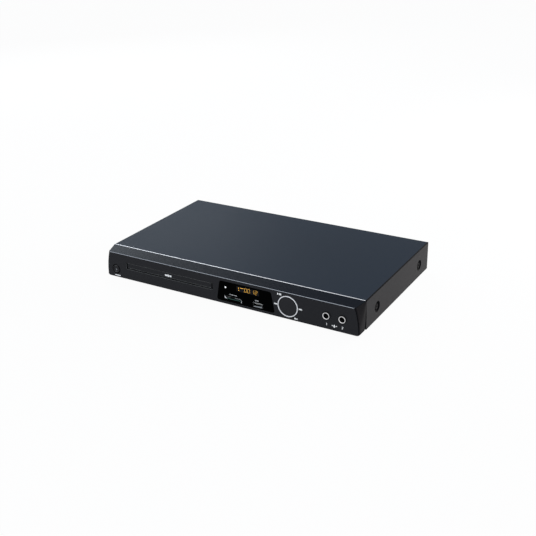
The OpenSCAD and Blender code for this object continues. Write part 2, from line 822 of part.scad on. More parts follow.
module key_switches() {
    color("#3a3a3c") {
        key_switch(power_x, power_board_front, power_z);
        for (d = nav_key_dirs)
            key_switch(nav_x + d[0] * nav_key_r, front_board_y, nav_z + d[1] * nav_key_r);
    }
}

module nav_ring() {
    color(chrome)
    difference() {
        rod_y(nav_x, face_y - 0.8, face_y + 0.8, nav_z, nav_ring_r);
        rod_y(nav_x, face_y - 2, face_y + 2, nav_z, nav_ring_r - nav_ring_w);
    }
}

nav_pad_r = nav_ring_r - nav_ring_w - 0.5;
nav_post_r = 2.4;
gimbal_in = 3.8;
gimbal_out = 6;
gimbal_half_t = 1.2;
nav_key_tip_y = front_board_y - key_body_h - key_plunger_h;

module nav_pad() {
    color("#26272a")
    union() {
        rod_y(nav_x, face_y - 0.6, wall_in_y - 0.6, nav_z, nav_pad_r);
        rod_y(nav_x, wall_in_y - 0.7, nav_pivot_y + 1.6, nav_z, nav_post_r);
        // Hinge pins in the gimbal, on the other diagonal
        translate([nav_x, 0, nav_z])
            rotate([0, 45, 0])
                rod_x(-gimbal_out + 0.3, gimbal_out - 0.3, nav_pivot_y, 0, nav_pin_r);
        // Pushers over the four switches
        for (d = nav_key_dirs)
            rod_y(nav_x + d[0] * nav_key_r, wall_in_y - 0.7, nav_key_tip_y - 0.65,
                  nav_z + d[1] * nav_key_r, 1.1);
    }
}

module nav_gimbal() {
    color("#c9c7bd")
    difference() {
        union() {
            rod_y(nav_x, nav_pivot_y - gimbal_half_t, nav_pivot_y + gimbal_half_t, nav_z,
                  gimbal_out);
            translate([nav_x, 0, nav_z])
                rotate([0, -45, 0])
                    rod_x(-nav_leg_out + 0.3, nav_leg_out - 0.3, nav_pivot_y, 0, nav_pin_r);
        }
        rod_y(nav_x, nav_pivot_y - 3, nav_pivot_y + 3, nav_z, gimbal_in);
        translate([nav_x, 0, nav_z])
            rotate([0, 45, 0])
                rod_x(-gimbal_out - 1, gimbal_out + 1, nav_pivot_y, 0, nav_pin_r + pin_gap);
    }
}

// ---------- Front boards and sockets ----------

module front_board() {
    color(board_green)
    difference() {
        span([front_board_x0, front_board_y, base_z + 4],
             [front_board_x1, front_board_y + board_t, base_z + 31]);
        // Notch for the card and USB board
        span([media_x - 1, front_board_y - 1, base_z + 3],
             [media_x + media_w + 1, front_board_y + board_t + 1, base_z + 13.6]);
        for (x = front_board_post_xs)
            rod_y(x, front_board_y - eps, front_board_y + board_t + eps, front_board_post_z, 1.1);
    }
}

module display_module() {
    color("#3d4148")
    span([lcd_x - lcd_w / 2, face_y + win_t - win_proud + slip, lcd_z - lcd_h / 2],
         [lcd_x + lcd_w / 2, front_board_y, lcd_z + lcd_h / 2]);
}

module ir_receiver() {
    color("#22242a")
    union() {
        span([eye_x - 3, wall_in_y + 1.5, eye_z - 3], [eye_x + 3, front_board_y, eye_z + 3]);
        rod_y(eye_x, face_y + win_t - win_proud + slip, wall_in_y + 2, eye_z, eye_r);
    }
}

module media_board() {
    color(board_green)
    span([media_x, media_y, media_z], [media_x + media_w, media_y + media_l, media_top]);
}

usb_l = 19;
usb_front_y = face_y + 0.2;
usb_body_low = media_top;

module usb_socket() {
    color(chrome)
    difference() {
        union() {
            span([usb_x - usb_w / 2 - shell_wall, usb_front_y, usb_z - usb_h / 2 - shell_wall],
                 [usb_x + usb_w / 2 + shell_wall, usb_front_y + usb_l, usb_z + usb_h / 2 + shell_wall]);
            // Feet down to the board
            for (s = [-1, 1])
                span([usb_x + s * (usb_w / 2 + shell_wall) - 0.5, usb_front_y + 8, media_top],
                     [usb_x + s * (usb_w / 2 + shell_wall) + 0.5, usb_front_y + 12, usb_z]);
        }
        span([usb_x - usb_w / 2, usb_front_y - 1, usb_z - usb_h / 2],
             [usb_x + usb_w / 2, usb_front_y + usb_l - 2, usb_z + usb_h / 2]);
    }
}

module usb_tongue() {
    color("#e8e6dc")
    span([usb_x - usb_w / 2 + 0.7, face_y + 2.6, usb_z + 0.3],
         [usb_x + usb_w / 2 - 0.7, usb_front_y + usb_l - 2, usb_z + 2.1]);
}

sd_l = 28;

module sd_socket() {
    color("#2d5a4a")
    difference() {
        span([sd_x - sd_w / 2 - shell_wall, face_y + 0.6, sd_z - sd_h / 2 - 0.6],
             [sd_x + sd_w / 2 + shell_wall, face_y + 0.6 + sd_l, sd_z + sd_h / 2 + 0.6]);
        span([sd_x - sd_w / 2, face_y, sd_z - sd_h / 2],
             [sd_x + sd_w / 2, face_y + sd_l - 2, sd_z + sd_h / 2]);
    }
    // Legs down to the board
    color("#2d5a4a")
    for (s = [-1, 1], y = [6, 24])
        span([sd_x + s * (sd_w / 2 - 1) - 1, face_y + y, media_top],
             [sd_x + s * (sd_w / 2 - 1) + 1, face_y + y + 3, sd_z - sd_h / 2 - 0.5]);
}

mic_mouth_y = face_y - mic_nut_out;

module mic_jacks() {
    color("#1b1c1f")
    for (x = mic_xs)
        difference() {
            union() {
                rod_y(x, mic_mouth_y, wall_in_y + 1, mic_z, mic_bush_r);
                span([x - mic_body_w / 2, wall_in_y, mic_z - mic_body_h / 2],
                     [x + mic_body_w / 2, mic_mouth_y + mic_bore_d + 3, mic_z + mic_body_h / 2]);
            }
            rod_y(x, mic_mouth_y - 1, mic_mouth_y + mic_bore_d, mic_z, mic_bore_r);
        }
}

module mic_jack_nuts() {
    color(chrome)
    for (x = mic_xs)
        difference() {
            rod_y(x, mic_mouth_y, face_y, mic_z, mic_nut_r);
            rod_y(x, mic_mouth_y - 1, face_y + 1, mic_z, mic_bush_r + 0.02);
        }
}

module mic_board() {
    color(board_green)
    span([mic_x - 11, mic_board_y, mic_board_z],
         [mic_x + mic_pitch + 11, mic_board_y + mic_board_l, mic_board_z + board_t]);
}

// ---------- Rear boards and sockets ----------

// Flat board with its screw holes
module flat_board(x, y, w, l, posts) {
    difference() {
        span([x, y, board_z], [x + w, y + l, board_top]);
        for (p = posts)
            translate([p[0], p[1], board_z - eps]) cylinder(h = board_t + 2 * eps, r = 1.5);
    }
}

module main_board() {
    color(board_green) flat_board(main_x, main_y, main_w, main_l, main_posts);
}

// Chip or connector on the main board, from its corner on the board
module on_main(x, y, w, l, h) {
    span([main_x + x, main_y + y, board_top], [main_x + x + w, main_y + y + l, board_top + h]);
}

ribbon_in = 49;                          // rear ribbon behind the main board's front edge
front_ribbon_in = main_w / 2 - 1;        // front ribbon's place on the main board
front_ribbon_w = 20;

module main_board_chips() {
    color("#26272b") {
        on_main(main_w / 2 - 13, main_l / 4, main_l / 4, main_l / 4, 1.6);
        for (x = [0.63, 0.75])
            on_main(main_w * x, main_l / 4, main_w / 12, main_l / 5, 1.2);
        on_main(24, 26, 12, 8, 2);
        on_main(48, 52, 10, 6, 1.8);
        on_main(74, 50, 12, 5, 1.8);
        on_main(8, ribbon_in - 3.2, 14, 3, 5);
        on_main(front_ribbon_in, 7.2, front_ribbon_w, 4, 4.5);
    }
    color(zinc)
    for (x = [16, main_w - 16])
        translate([main_x + x, main_y + 18, board_top]) cylinder(h = 8, r = 3.2);
}

phono_block_d = 12;

module av_jack_block() {
    color("#1d1e21")
    difference() {
        span([phono_x - phono_pitch / 2, panel_in_y - phono_block_d, board_top],
             [phono_x + (phono_n - 0.5) * phono_pitch, panel_in_y, phono_z + 7]);
        for (i = [0:phono_n - 1])
            rod_y(phono_x + i * phono_pitch, panel_in_y - 6, panel_in_y + 1, phono_z,
                  phono_hole_r);
    }
}

phono_tip_y = back_y + phono_out;

module av_jack_shells() {
    color(chrome)
    for (i = [0:phono_n - 1])
        difference() {
            union() {
                rod_y(phono_x + i * phono_pitch, panel_in_y - 6, phono_tip_y, phono_z,
                      phono_neck_r);
                rod_y(phono_x + i * phono_pitch, panel_y + collar_out, phono_tip_y, phono_z,
                      phono_r);
            }
            rod_y(phono_x + i * phono_pitch, panel_in_y - 4, phono_tip_y + 1, phono_z, 1.65);
            // Ring gap between the shell and the middle contact
            translate([phono_x + i * phono_pitch, phono_tip_y - 8, phono_z])
                rotate([-90, 0, 0])
                    difference() {
                        cylinder(h = 9, r = 3.6);
                        translate([0, 0, -1]) cylinder(h = 9, r = 2.3);
                    }
        }
}

collar_out = 1.4;

module av_jack_collars() {
    color("#c7a21c")
    for (i = [0:phono_n - 1])
        difference() {
            rod_y(phono_x + i * phono_pitch, panel_y, panel_y + collar_out, phono_z, 5.4);
            rod_y(phono_x + i * phono_pitch, panel_y - 1, panel_y + collar_out + 1, phono_z,
                  phono_neck_r + 0.02);
        }
}

module hdmi_socket() {
    color(zinc)
    difference() {
        span([hdmi_x - hdmi_w / 2, panel_y - 12, board_top],
             [hdmi_x + hdmi_w / 2, back_y, board_top + hdmi_h]);
        span([hdmi_x - hdmi_w / 2 + 0.4, panel_y - 8, board_top + 1.9],
             [hdmi_x + hdmi_w / 2 - 0.4, back_y + 1, board_top + hdmi_h - 0.4]);
        span([hdmi_x - hdmi_w / 2 + 1.8, panel_y - 8, board_top + 0.4],
             [hdmi_x + hdmi_w / 2 - 1.8, back_y + 1, board_top + 2]);
    }
    color("#202124")
    span([hdmi_x - 5, panel_y - 8 - eps, board_top + 2.6],
         [hdmi_x + 5, back_y - 1, board_top + 3.8]);
}

inlet_depth = 13;
inlet_cavity_d = 11;
inlet_lobe_r = 4;
inlet_pin_gap = 8.6;

module power_inlet() {
    color("#141517")
    difference() {
        union() {
            span([inlet_x - inlet_w / 2, panel_in_y - inlet_depth, inlet_z - inlet_h / 2],
                 [inlet_x + inlet_w / 2, panel_y + eps, inlet_z + inlet_h / 2]);
            // Flange outside the panel
            span([inlet_x - inlet_w / 2 - 2, panel_y, inlet_z - inlet_h / 2 - 1.5],
                 [inlet_x + inlet_w / 2 + 2, panel_y + 1.5, inlet_z + inlet_h / 2 + 1.5]);
        }
        for (s = [-1, 1])
            rod_y(inlet_x + s * inlet_pin_gap / 2, panel_y - inlet_cavity_d + 1.5, panel_y + 3,
                  inlet_z, inlet_lobe_r);
        span([inlet_x - inlet_pin_gap / 2, panel_y - inlet_cavity_d + 1.5,
              inlet_z - inlet_lobe_r],
             [inlet_x + inlet_pin_gap / 2, panel_y + 3, inlet_z + inlet_lobe_r]);
        for (s = [-1, 1])
            rod_y(inlet_x + s * inlet_pin_gap / 2, panel_in_y - inlet_depth - 1, panel_y,
                  inlet_z, 1.2);
    }
}

module inlet_pins() {
    color(brass_col)
    for (s = [-1, 1])
        rod_y(inlet_x + s * inlet_pin_gap / 2, panel_in_y - inlet_depth - 3, panel_y - 1,
              inlet_z, 1.18);
}

module power_board() {
    color("#8a6d3b")
    flat_board(power_board_x, power_board_y, power_board_w, power_board_l, power_posts);
}

transformer_w = power_board_w / 2;
transformer_x = power_board_x + 12;
transformer_y = power_board_y + power_board_l * 0.4;

module transformer() {
    color("#d8b93a")
    union() {
        span([transformer_x, transformer_y, board_top],
             [transformer_x + transformer_w, transformer_y + 24, board_top + 18]);
        span([transformer_x - 3, transformer_y + 7, board_top + 3],
             [transformer_x + transformer_w + 3, transformer_y + 17, board_top + 15]);
    }
}

module capacitors() {
    color("#1f2b4a") {
        translate([power_board_x + 14, power_board_y + power_board_l - 16, board_top])
            cylinder(h = lid_z - board_top - 7.6, r = 7);
        for (x = [1:3])
            translate([power_board_x + x * power_board_w / 4 - 1, power_board_y + 12, board_top])
                cylinder(h = 12, r = 4);
    }
}

module heatsink() {
    color("#a9adb1")
    union() {
        span([power_board_x + 6, power_board_y + 27, board_top],
             [power_board_x + power_board_w - 6, power_board_y + 28.5, board_top + 18]);
        for (i = [0:6])
            translate([power_board_x + 7 + i * (power_board_w - 15.2) / 6, power_board_y + 28,
                       board_top + 3])
                cube([1.2, 6, 15]);
    }
}

ribbon_t = 0.4;

module ribbon_cables() {
    color("#cfd0cc") {
        // Front board to main board, over the floor of the pan
        translate([main_x + front_ribbon_in, 0, board_top + 2]) {
            span([0, front_board_y + board_t, 0],
                 [front_ribbon_w, front_board_y + board_t + ribbon_t, base_z + 10 - board_top]);
            span([0, front_board_y + board_t, 0], [front_ribbon_w, main_y + 7, ribbon_t]);
            span([0, main_y + 7 - ribbon_t, 0], [front_ribbon_w, main_y + 7, 4]);
        }
        // Loader to main board
        span([loader_x + frame_half - 20, main_y + ribbon_in, board_top + 0.4],
             [main_x + 20, main_y + ribbon_in + ribbon_t, board_top + 10]);
    }
}

// ---------- Loader ----------

drive_post_top = gear_top - 0.2;

module loader_frame() {
    color("#cfcdc4")
    difference() {
        union() {
            // Side walls with ledges under the tray
            for (s = [0, 1])
                translate([loader_x, 0, 0]) mirror([s, 0, 0]) {
                    span([rail_in, frame_y, frame_low], [frame_half, frame_y + frame_l, frame_top]);
                    span([tray_half - 3.4, frame_y, tray_low - 0.2 - 2],
                         [frame_half, frame_y + frame_l, tray_low - 0.2]);
                    // Floor strips
                    span([tray_half - 4, frame_y, frame_low],
                         [frame_half, frame_y + frame_l, frame_floor]);
                    // Hold-down tabs over the tray's rim
                    for (y = [12, 62, 112, frame_l - 14])
                        span([tray_half - 2, frame_y + y, tray_top + 0.3],
                             [frame_half, frame_y + y + 10, frame_top]);
                }
            span([loader_x - frame_half, frame_y, frame_low],
                 [loader_x + frame_half, frame_y + front_bay_l - 2, frame_floor]);
            span([loader_x - frame_half, deck_pivot_y - 5, frame_low],
                 [loader_x + frame_half, frame_y + frame_l, frame_floor]);
            // Feet on the pan's posts
            for (p = frame_posts)
                translate([p[0], p[1], frame_low]) cylinder(h = frame_floor_t, r = 3.6);
            for (s = [-1, 1], y = [frame_posts[0][1], frame_posts[1][1]])
                translate([loader_x, y, frame_low])
                    span([s * (frame_half + 3.5) - 4, -3, 0], [s * (frame_half + 3.5) + 4, 3,
                         frame_floor_t]);
            // Posts of the two gears
            for (x = [drive_x, pulley_x])
                translate([x, drive_y, frame_floor - eps])
                    cylinder(h = lower_low - 0.4 - frame_floor + eps, r = 3);
            for (x = [drive_x, pulley_x])
                translate([x, drive_y, frame_floor - eps])
                    cylinder(h = drive_post_top - frame_floor, r = gear_pin_r);
            // Cup that holds the motor
            translate([motor_x, drive_y, frame_low]) cylinder(h = 7, r = motor_r + 1.6);
            // Bearing blocks of the deck's hinge
            for (s = [-1, 1])
                span([loader_x + s * 42.5 - 1.8, deck_pivot_y - 4, frame_floor - eps],
                     [loader_x + s * 42.5 + 1.8, deck_pivot_y + 4, deck_pivot_z + 3.4]);
            // Guide lips of the cam slider
            for (x = [-34, 44])
                span([loader_x + x, cam_y - 6.5, frame_floor - eps],
                     [loader_x + x + 4, cam_y - 5.8, frame_floor + 2.6]);
        }
        translate([motor_x, drive_y, frame_low - 1]) cylinder(h = 9, r = motor_r + pin_gap);
        for (p = frame_posts)
            translate([p[0], p[1], frame_low - 1]) cylinder(h = 5, r = 1.5);
        rod_x(loader_x - 50, loader_x + 50, deck_pivot_y, deck_pivot_z, cam_pin_r + pin_gap);
    }
}

recess_floor = tray_top - disc_recess_d;
small_floor = recess_floor - small_recess_d;
tail_t = 1.7;
tunnel_half = 22;
rack_low = door_z - slot_half_h + run_gap;

module disc_tray() {
    rack_y0 = frame_y - 2;
    rack_l = 150;
    pitch = PI * rack_module;
    turns = (drive_y - rack_y0) / pitch;
    phase = (turns - floor(turns) - 0.5) * pitch;   // puts a tooth beside the pinion's axis
    color("#2b2c30")
    difference() {
        union() {
            span([loader_x - tray_half, tray_front_y, tray_low],
                 [loader_x + tray_half, tray_front_y + tray_l, tray_top]);
            // Rack under the left side
            translate([rack_x, rack_y0, rack_low])
                linear_extrude(tray_low - rack_low + eps)
                    rack_outline(rack_l, rack_module, phase);
        }
        translate([loader_x, spindle_y, recess_floor])
            cylinder(h = disc_recess_d + 1, r = disc_recess_r, $fn = 96);
        translate([loader_x, spindle_y, small_floor])
            cylinder(h = disc_recess_d + 1, r = small_recess_r, $fn = 96);
        // Opening for the turntable and the pickup
        translate([loader_x, spindle_y, tray_low - 1]) cylinder(h = tray_t + 2, r = tunnel_half);
        span([loader_x - tunnel_half, spindle_y, tray_low - 1],
             [loader_x + tunnel_half, spindle_y + pickup_r_in + pickup_travel + 14, tray_top + 1]);
        // Tunnel under the tail, so that it clears the turntable
        span([loader_x - tunnel_half, spindle_y, tray_low - 1],
             [loader_x + tunnel_half, tray_front_y + tray_l + 1, tray_top - tail_t]);
        // Finger notches beside the disc
        for (s = [-1, 1])
            translate([loader_x + s * tray_half, spindle_y, recess_floor])
                cylinder(h = disc_recess_d + 1, r = 11);
    }
}

module tray_door() {
    color("#1a1b1d")
    difference() {
        span([loader_x - door_w / 2, face_y + 0.5, door_z - door_h / 2],
             [loader_x + door_w / 2, face_y + 0.5 + door_t, door_z + door_h / 2]);
        // Sloping finger bevel along the lower front edge
        translate([loader_x - door_w / 2 - 1, face_y + 0.5, door_z - door_h / 2])
            rotate([45, 0, 0])
                translate([0, -1, -1]) cube([door_w + 2, 2, 2]);
    }
}

module tray_motor() {
    color(zinc)
    difference() {
        union() {
            translate([motor_x, drive_y, frame_low])
                cylinder(h = upper_low - 0.8 - frame_low, r = motor_r);
            translate([motor_x, drive_y, upper_low - 0.9]) cylinder(h = 0.6, r = 2);
        }
        translate([motor_x, drive_y, frame_low + 3]) cylinder(h = 20, r = 0.8);
    }
}

module motor_pulley() {
    color(brass_col)
    difference() {
        union() {
            translate([motor_x, drive_y, frame_low + 3.2])
                cylinder(h = upper_low - frame_low, r = 0.75);
            translate([motor_x, drive_y, upper_low]) cylinder(h = 3, r = small_belt_r + 0.8);
        }
        translate([motor_x, drive_y, belt_z - belt_w / 2 - 0.3])
            difference() {
                cylinder(h = belt_w + 0.6, r = small_belt_r + 2);
                translate([0, 0, -1])
                    cylinder(h = belt_w + 3, r = small_belt_r - belt_w / 2 - 0.3);
            }
    }
}

module drive_belt() {
    color("#111214")
    translate([0, 0, belt_z - belt_w / 2])
        linear_extrude(belt_w)
            difference() {
                hull() {
                    translate([pulley_x, drive_y]) circle(r = big_belt_r + belt_w / 2, $fn = 96);
                    translate([motor_x, drive_y]) circle(r = small_belt_r + belt_w / 2);
                }
                hull() {
                    translate([pulley_x, drive_y]) circle(r = big_belt_r - belt_w / 2, $fn = 96);
                    translate([motor_x, drive_y]) circle(r = small_belt_r - belt_w / 2);
                }
            }
}

module pulley_gear() {
    mesh_turn = 180 / pulley_pinion_teeth;
    color("#e6e3d6")
    difference() {
        union() {
            translate([pulley_x, drive_y, upper_low]) cylinder(h = 3, r = big_belt_r + 0.9);
            translate([pulley_x, drive_y, lower_low])
                cylinder(h = upper_low - lower_low + eps, r = pulley_pinion_r - 1.2);
            translate([pulley_x, drive_y, lower_low])
                rotate([0, 0, mesh_turn])
                    linear_extrude(lower_top - lower_low)
                        gear_outline(pulley_pinion_teeth, wheel_module);
        }
        translate([pulley_x, drive_y, belt_z - belt_w / 2 - 0.3])
            difference() {
                cylinder(h = belt_w + 0.6, r = big_belt_r + 3);
                translate([0, 0, -1])
                    cylinder(h = belt_w + 3, r = big_belt_r - belt_w / 2 - 0.3);
            }
        translate([pulley_x, drive_y, lower_low - 1])
            cylinder(h = 12, r = gear_pin_r + pin_gap);
    }
}

module drive_gear() {
    color("#efece0")
    difference() {
        union() {
            translate([drive_x, drive_y, lower_low])
                linear_extrude(lower_top - lower_low)
                    gear_outline(drive_teeth, wheel_module);
            translate([drive_x, drive_y, lower_top - eps])
                cylinder(h = upper_low - lower_top + 2 * eps, r = rack_r - 2);
            translate([drive_x, drive_y, upper_low])
                rotate([0, 0, 180 / rack_pinion_teeth])
                    linear_extrude(gear_top - upper_low)
                        gear_outline(rack_pinion_teeth, rack_module);
        }
        translate([drive_x, drive_y, lower_low - 1])
            cylinder(h = 14, r = gear_pin_r + pin_gap);
    }
}

cam_low = frame_floor + run_gap;
cam_top = tray_low - 0.5;
cam_slot_half = cam_pin_r + 0.3;

// Sloping slot that a deck pin rides in, from its lowered to its raised place
module cam_slot(x) {
    rise = cam_pin_z - cam_low_z;
    run = norm([cam_travel, rise]);
    slope = atan2(rise, -cam_travel);
    rod_y(x, cam_y - 3, cam_y + 3, cam_low_z, cam_slot_half);
    rod_y(x - cam_travel, cam_y - 3, cam_y + 3, cam_pin_z, cam_slot_half);
    translate([x, cam_y, cam_low_z])
        rotate([0, -slope, 0])
            span([0, -3, -cam_slot_half], [run, 3, cam_slot_half]);
}

module cam_slider() {
    color("#d7d4c6")
    difference() {
        union() {
            span([loader_x - 38, cam_y - cam_wall / 2, cam_low],
                 [loader_x + 25, cam_y + cam_wall / 2, cam_top]);
            span([loader_x - 38, cam_y - 5.5, cam_low],
                 [loader_x + 25, cam_y, cam_low + 1.8]);
        }
        for (x = cam_pin_xs)
            cam_slot(loader_x + x);
    }
}

// ---------- Clamp ----------

collar_hole_r = 12.8;

module clamp_bridge() {
    color(zinc)
    difference() {
        union() {
            span([loader_x - frame_half, spindle_y - bridge_half_l, collar_low],
                 [loader_x + frame_half, spindle_y + bridge_half_l, collar_top]);
            translate([loader_x, spindle_y, collar_low]) cylinder(h = collar_t, r = 20);
            for (s = [-1, 1])
                span([loader_x + s * (rail_in + rail_t / 2) - rail_t / 2,
                      spindle_y - bridge_half_l, frame_top],
                     [loader_x + s * (rail_in + rail_t / 2) + rail_t / 2,
                      spindle_y + bridge_half_l, collar_low + eps]);
        }
        translate([loader_x, spindle_y, collar_low - 1])
            cylinder(h = collar_t + 2, r = collar_hole_r);
        for (s = [-1, 1])
            translate([loader_x + s * 40, spindle_y, collar_low - 1])
                cylinder(h = collar_t + 2, r = 9);
    }
}

clamp_neck_r = 12;
clamp_disc_top = clamp_low + 3;
clamp_top = collar_top + run_gap + 1.2;
magnet_r = 6;
magnet_low = clamp_low + 3.7;
magnet_h = 2.4;

module disc_clamp() {
    color("#e9e7dd")
    difference() {
        union() {
            translate([loader_x, spindle_y, clamp_low])
                cylinder(h = clamp_disc_top - clamp_low, r = 15.5);
            translate([loader_x, spindle_y, clamp_low])
                cylinder(h = clamp_top - clamp_low, r = clamp_neck_r);
            translate([loader_x, spindle_y, collar_top + run_gap])
                cylinder(h = 1.2, r = 15);
        }
        translate([loader_x, spindle_y, clamp_low - 1]) cylinder(h = 3.5, r = boss_r + 0.8);
        translate([loader_x, spindle_y, magnet_low])
            cylinder(h = 10, r = magnet_r + pin_gap);
    }
}

module clamp_magnet() {
    color("#6f7377")
    translate([loader_x, spindle_y, magnet_low]) cylinder(h = magnet_h, r = magnet_r);
}

// ---------- Deck, drawn level and then lowered ----------

carriage_front = spindle_y + pickup_r_in - 11;
carriage_l = 26;
window_y1 = carriage_front + carriage_l + pickup_travel + 0.6;
rod_y0 = spindle_y + 7.5;
rod_y1 = spindle_y + 80;
holder_l = 3;
carriage_low = rod_z - 2.6;
carriage_top = rod_z + 2.4;
sled_motor_r = 4.3;
sled_motor_y0 = carriage_front + 14 + pickup_travel + 5;

module deck_plate() {
    color("#9ea3a8")
    lowered()
    difference() {
        union() {
            span([loader_x - deck_half, deck_front_y, deck_z],
                 [loader_x + deck_half, deck_pivot_y + 4, deck_z + deck_t]);
            // Hinge ears and pins
            for (s = [-1, 1])
                span([loader_x + s * 36 - 2, deck_pivot_y - 3, deck_pivot_z - 2],
                     [loader_x + s * 36 + 2, deck_pivot_y + 3, deck_z + eps]);
            for (s = [-1, 1])
                rod_x(loader_x + s * 40 - 4.3, loader_x + s * 40 + 4.3, deck_pivot_y,
                      deck_pivot_z, cam_pin_r);
            // Front lugs with the pins that ride in the cam slider
            for (x = cam_pin_xs) {
                span([loader_x + x - 2.5, deck_front_y, deck_z],
                     [loader_x + x + 2.5, deck_front_y + 2, cam_pin_z + 1.8]);
                rod_y(loader_x + x, cam_y - cam_wall / 2 - 0.4, deck_front_y + 1, cam_pin_z,
                      cam_pin_r);
            }
            // Holders of the guide rods
            for (x = rod_xs, y = [rod_y0, rod_y1 - holder_l])
                span([loader_x + x - 3, y, rod_z - 2.6],
                     [loader_x + x + 3, y + holder_l, deck_z + eps]);
        }
        span([loader_x - 27, carriage_front - 0.6, deck_z - 1],
             [loader_x + 22, window_y1, deck_z + 3]);
        // Notch over the sled motor and its screw
        span([loader_x + screw_x - sled_motor_r - 0.4, sled_motor_y0 - 0.5, deck_z - 1],
             [loader_x + deck_half + 1, sled_motor_y0 + 15, deck_z + 3]);
        translate([loader_x, spindle_y, deck_z - 1]) cylinder(h = 4, r = 4.2);
        for (x = rod_xs)
            rod_y(loader_x + x, rod_y0 - 1, rod_y1 + 1, rod_z, rod_r + 0.02);
    }
}

shaft_r = 1;
motor_boss_top = deck_z + deck_t + 0.4;
spindle_low = deck_z - 5.2;

module spindle_motor() {
    color(zinc)
    lowered()
    difference() {
        union() {
            translate([loader_x, spindle_y, spindle_low])
                cylinder(h = deck_z - spindle_low, r = spindle_motor_r);
            translate([loader_x, spindle_y, deck_z - eps])
                cylinder(h = motor_boss_top - deck_z, r = 4);
        }
        translate([loader_x, spindle_y, spindle_low + 1]) cylinder(h = 12, r = shaft_r + pin_gap);
    }
}

module turntable() {
    color("#2a2b2e")
    lowered()
    translate([loader_x, spindle_y, 0])
    union() {
        translate([0, 0, spindle_low + 1.2])
            cylinder(h = disc_z - spindle_low - 1.2, r = shaft_r);
        translate([0, 0, motor_boss_top + run_gap])
            cylinder(h = disc_z - motor_boss_top - run_gap, r = 5);
        translate([0, 0, disc_z - 2.5]) cylinder(h = 2.5, r = platter_r);
        translate([0, 0, disc_z - eps]) cylinder(h = 1.2 + eps, r = boss_r);
        translate([0, 0, disc_z + 1.2 - eps]) cylinder(h = 0.8, r1 = boss_r, r2 = boss_r - 2);
    }
}

head_top = disc_z - 2.4;
head_half_w = 12;
well_d = 2.8;

module pickup_body() {
    lens_y = spindle_y + pickup_r_in;
    color("#4a4d52")
    lowered()
    difference() {
        union() {
            span([loader_x - 28, carriage_front, carriage_low],
                 [loader_x + 24, carriage_front + carriage_l, carriage_top]);
            // Bushes round the two rods
            for (x = rod_xs)
                span([loader_x + x - 3.4, carriage_front, carriage_low],
                     [loader_x + x + 3.4, carriage_front + carriage_l, carriage_top]);
            // Arm with the half nut on the sled screw
            span([loader_x + rod_xs[1], lens_y - 3, carriage_low],
                 [loader_x + screw_x + 3, lens_y + 3, carriage_top]);
            span([loader_x - head_half_w, lens_y - 9.5, carriage_top - eps],
                 [loader_x + head_half_w, lens_y + 11, head_top]);
        }
        for (x = rod_xs)
            rod_y(loader_x + x, carriage_front - 1, carriage_front + carriage_l + 1, rod_z,
                  rod_r + pin_gap);
        rod_y(loader_x + screw_x, lens_y - 4, lens_y + 4, sled_z, rod_r + pin_gap);
        // Well that the lens floats in
        span([loader_x - 8, lens_y - 6, head_top - well_d], [loader_x + 8, lens_y + 6,
             head_top + 1]);
    }
}

module pickup_lens() {
    lens_y = spindle_y + pickup_r_in;
    color("#6f8fb5")
    lowered()
    union() {
        span([loader_x - 5.5, lens_y - 4.5, head_top - well_d + 0.6],
             [loader_x + 5.5, lens_y + 4.5, head_top - 0.4]);
        translate([loader_x, lens_y, head_top - 0.4 - eps]) cylinder(h = 0.7, r = lens_r);
    }
}

module guide_rods() {
    color(chrome)
    lowered()
    for (x = rod_xs)
        rod_y(loader_x + x, rod_y0, rod_y1, rod_z, rod_r);
}

module sled_motor() {
    color(zinc)
    lowered()
    difference() {
        rod_y(loader_x + screw_x, sled_motor_y0, sled_motor_y0 + 14, sled_z, sled_motor_r);
        rod_y(loader_x + screw_x, sled_motor_y0 - 1, sled_motor_y0 + 6, sled_z,
              shaft_r + pin_gap);
    }
}

module sled_screw() {
    color(chrome)
    lowered()
    union() {
        rod_y(loader_x + screw_x, spindle_y + 12, sled_motor_y0 - 0.3, sled_z, rod_r);
        rod_y(loader_x + screw_x, sled_motor_y0 - 0.4, sled_motor_y0 + 5.5, sled_z, shaft_r);
    }
}

module inner_screws() {
    color(zinc) {
        for (p = concat(main_posts, power_posts))
            translate([p[0], p[1], board_top])
                rotate([180, 0, 0]) screw(2.4, 1.4, 1.2, 5);
        for (p = frame_posts)
            translate([p[0], p[1], frame_floor])
                rotate([180, 0, 0]) screw(2.8, 1.4, 1.2, frame_floor_t + 1.2);
    }
}

top_cover();
base_pan();
rear_panel();
rubber_feet();
foot_screws();
cover_screws();
rear_screws();
front_fascia();
fascia_trim();
display_window();
tray_door();
power_button();
power_key_board();
key_switches();
nav_ring();
nav_pad();
nav_gimbal();
front_board();
display_module();
ir_receiver();
media_board();
usb_socket();
usb_tongue();
sd_socket();
mic_jacks();
mic_jack_nuts();
mic_board();
main_board();
main_board_chips();
av_jack_block();
av_jack_shells();
av_jack_collars();
hdmi_socket();
power_inlet();
inlet_pins();
power_board();
transformer();
capacitors();
heatsink();
ribbon_cables();
loader_frame();
disc_tray();
tray_motor();
motor_pulley();
drive_belt();
pulley_gear();
drive_gear();
cam_slider();
clamp_bridge();
disc_clamp();
clamp_magnet();
deck_plate();
spindle_motor();
turntable();
pickup_body();
pickup_lens();
guide_rods();
sled_motor();
sled_screw();
inner_screws();
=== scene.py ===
# Looks of a slim disc player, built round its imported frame.
# Metres, but roundings and marks are given in mm. +X is right, +Y is towards the back, +Z is up.
import math

import bmesh
import bpy
from mathutils import Matrix, Vector

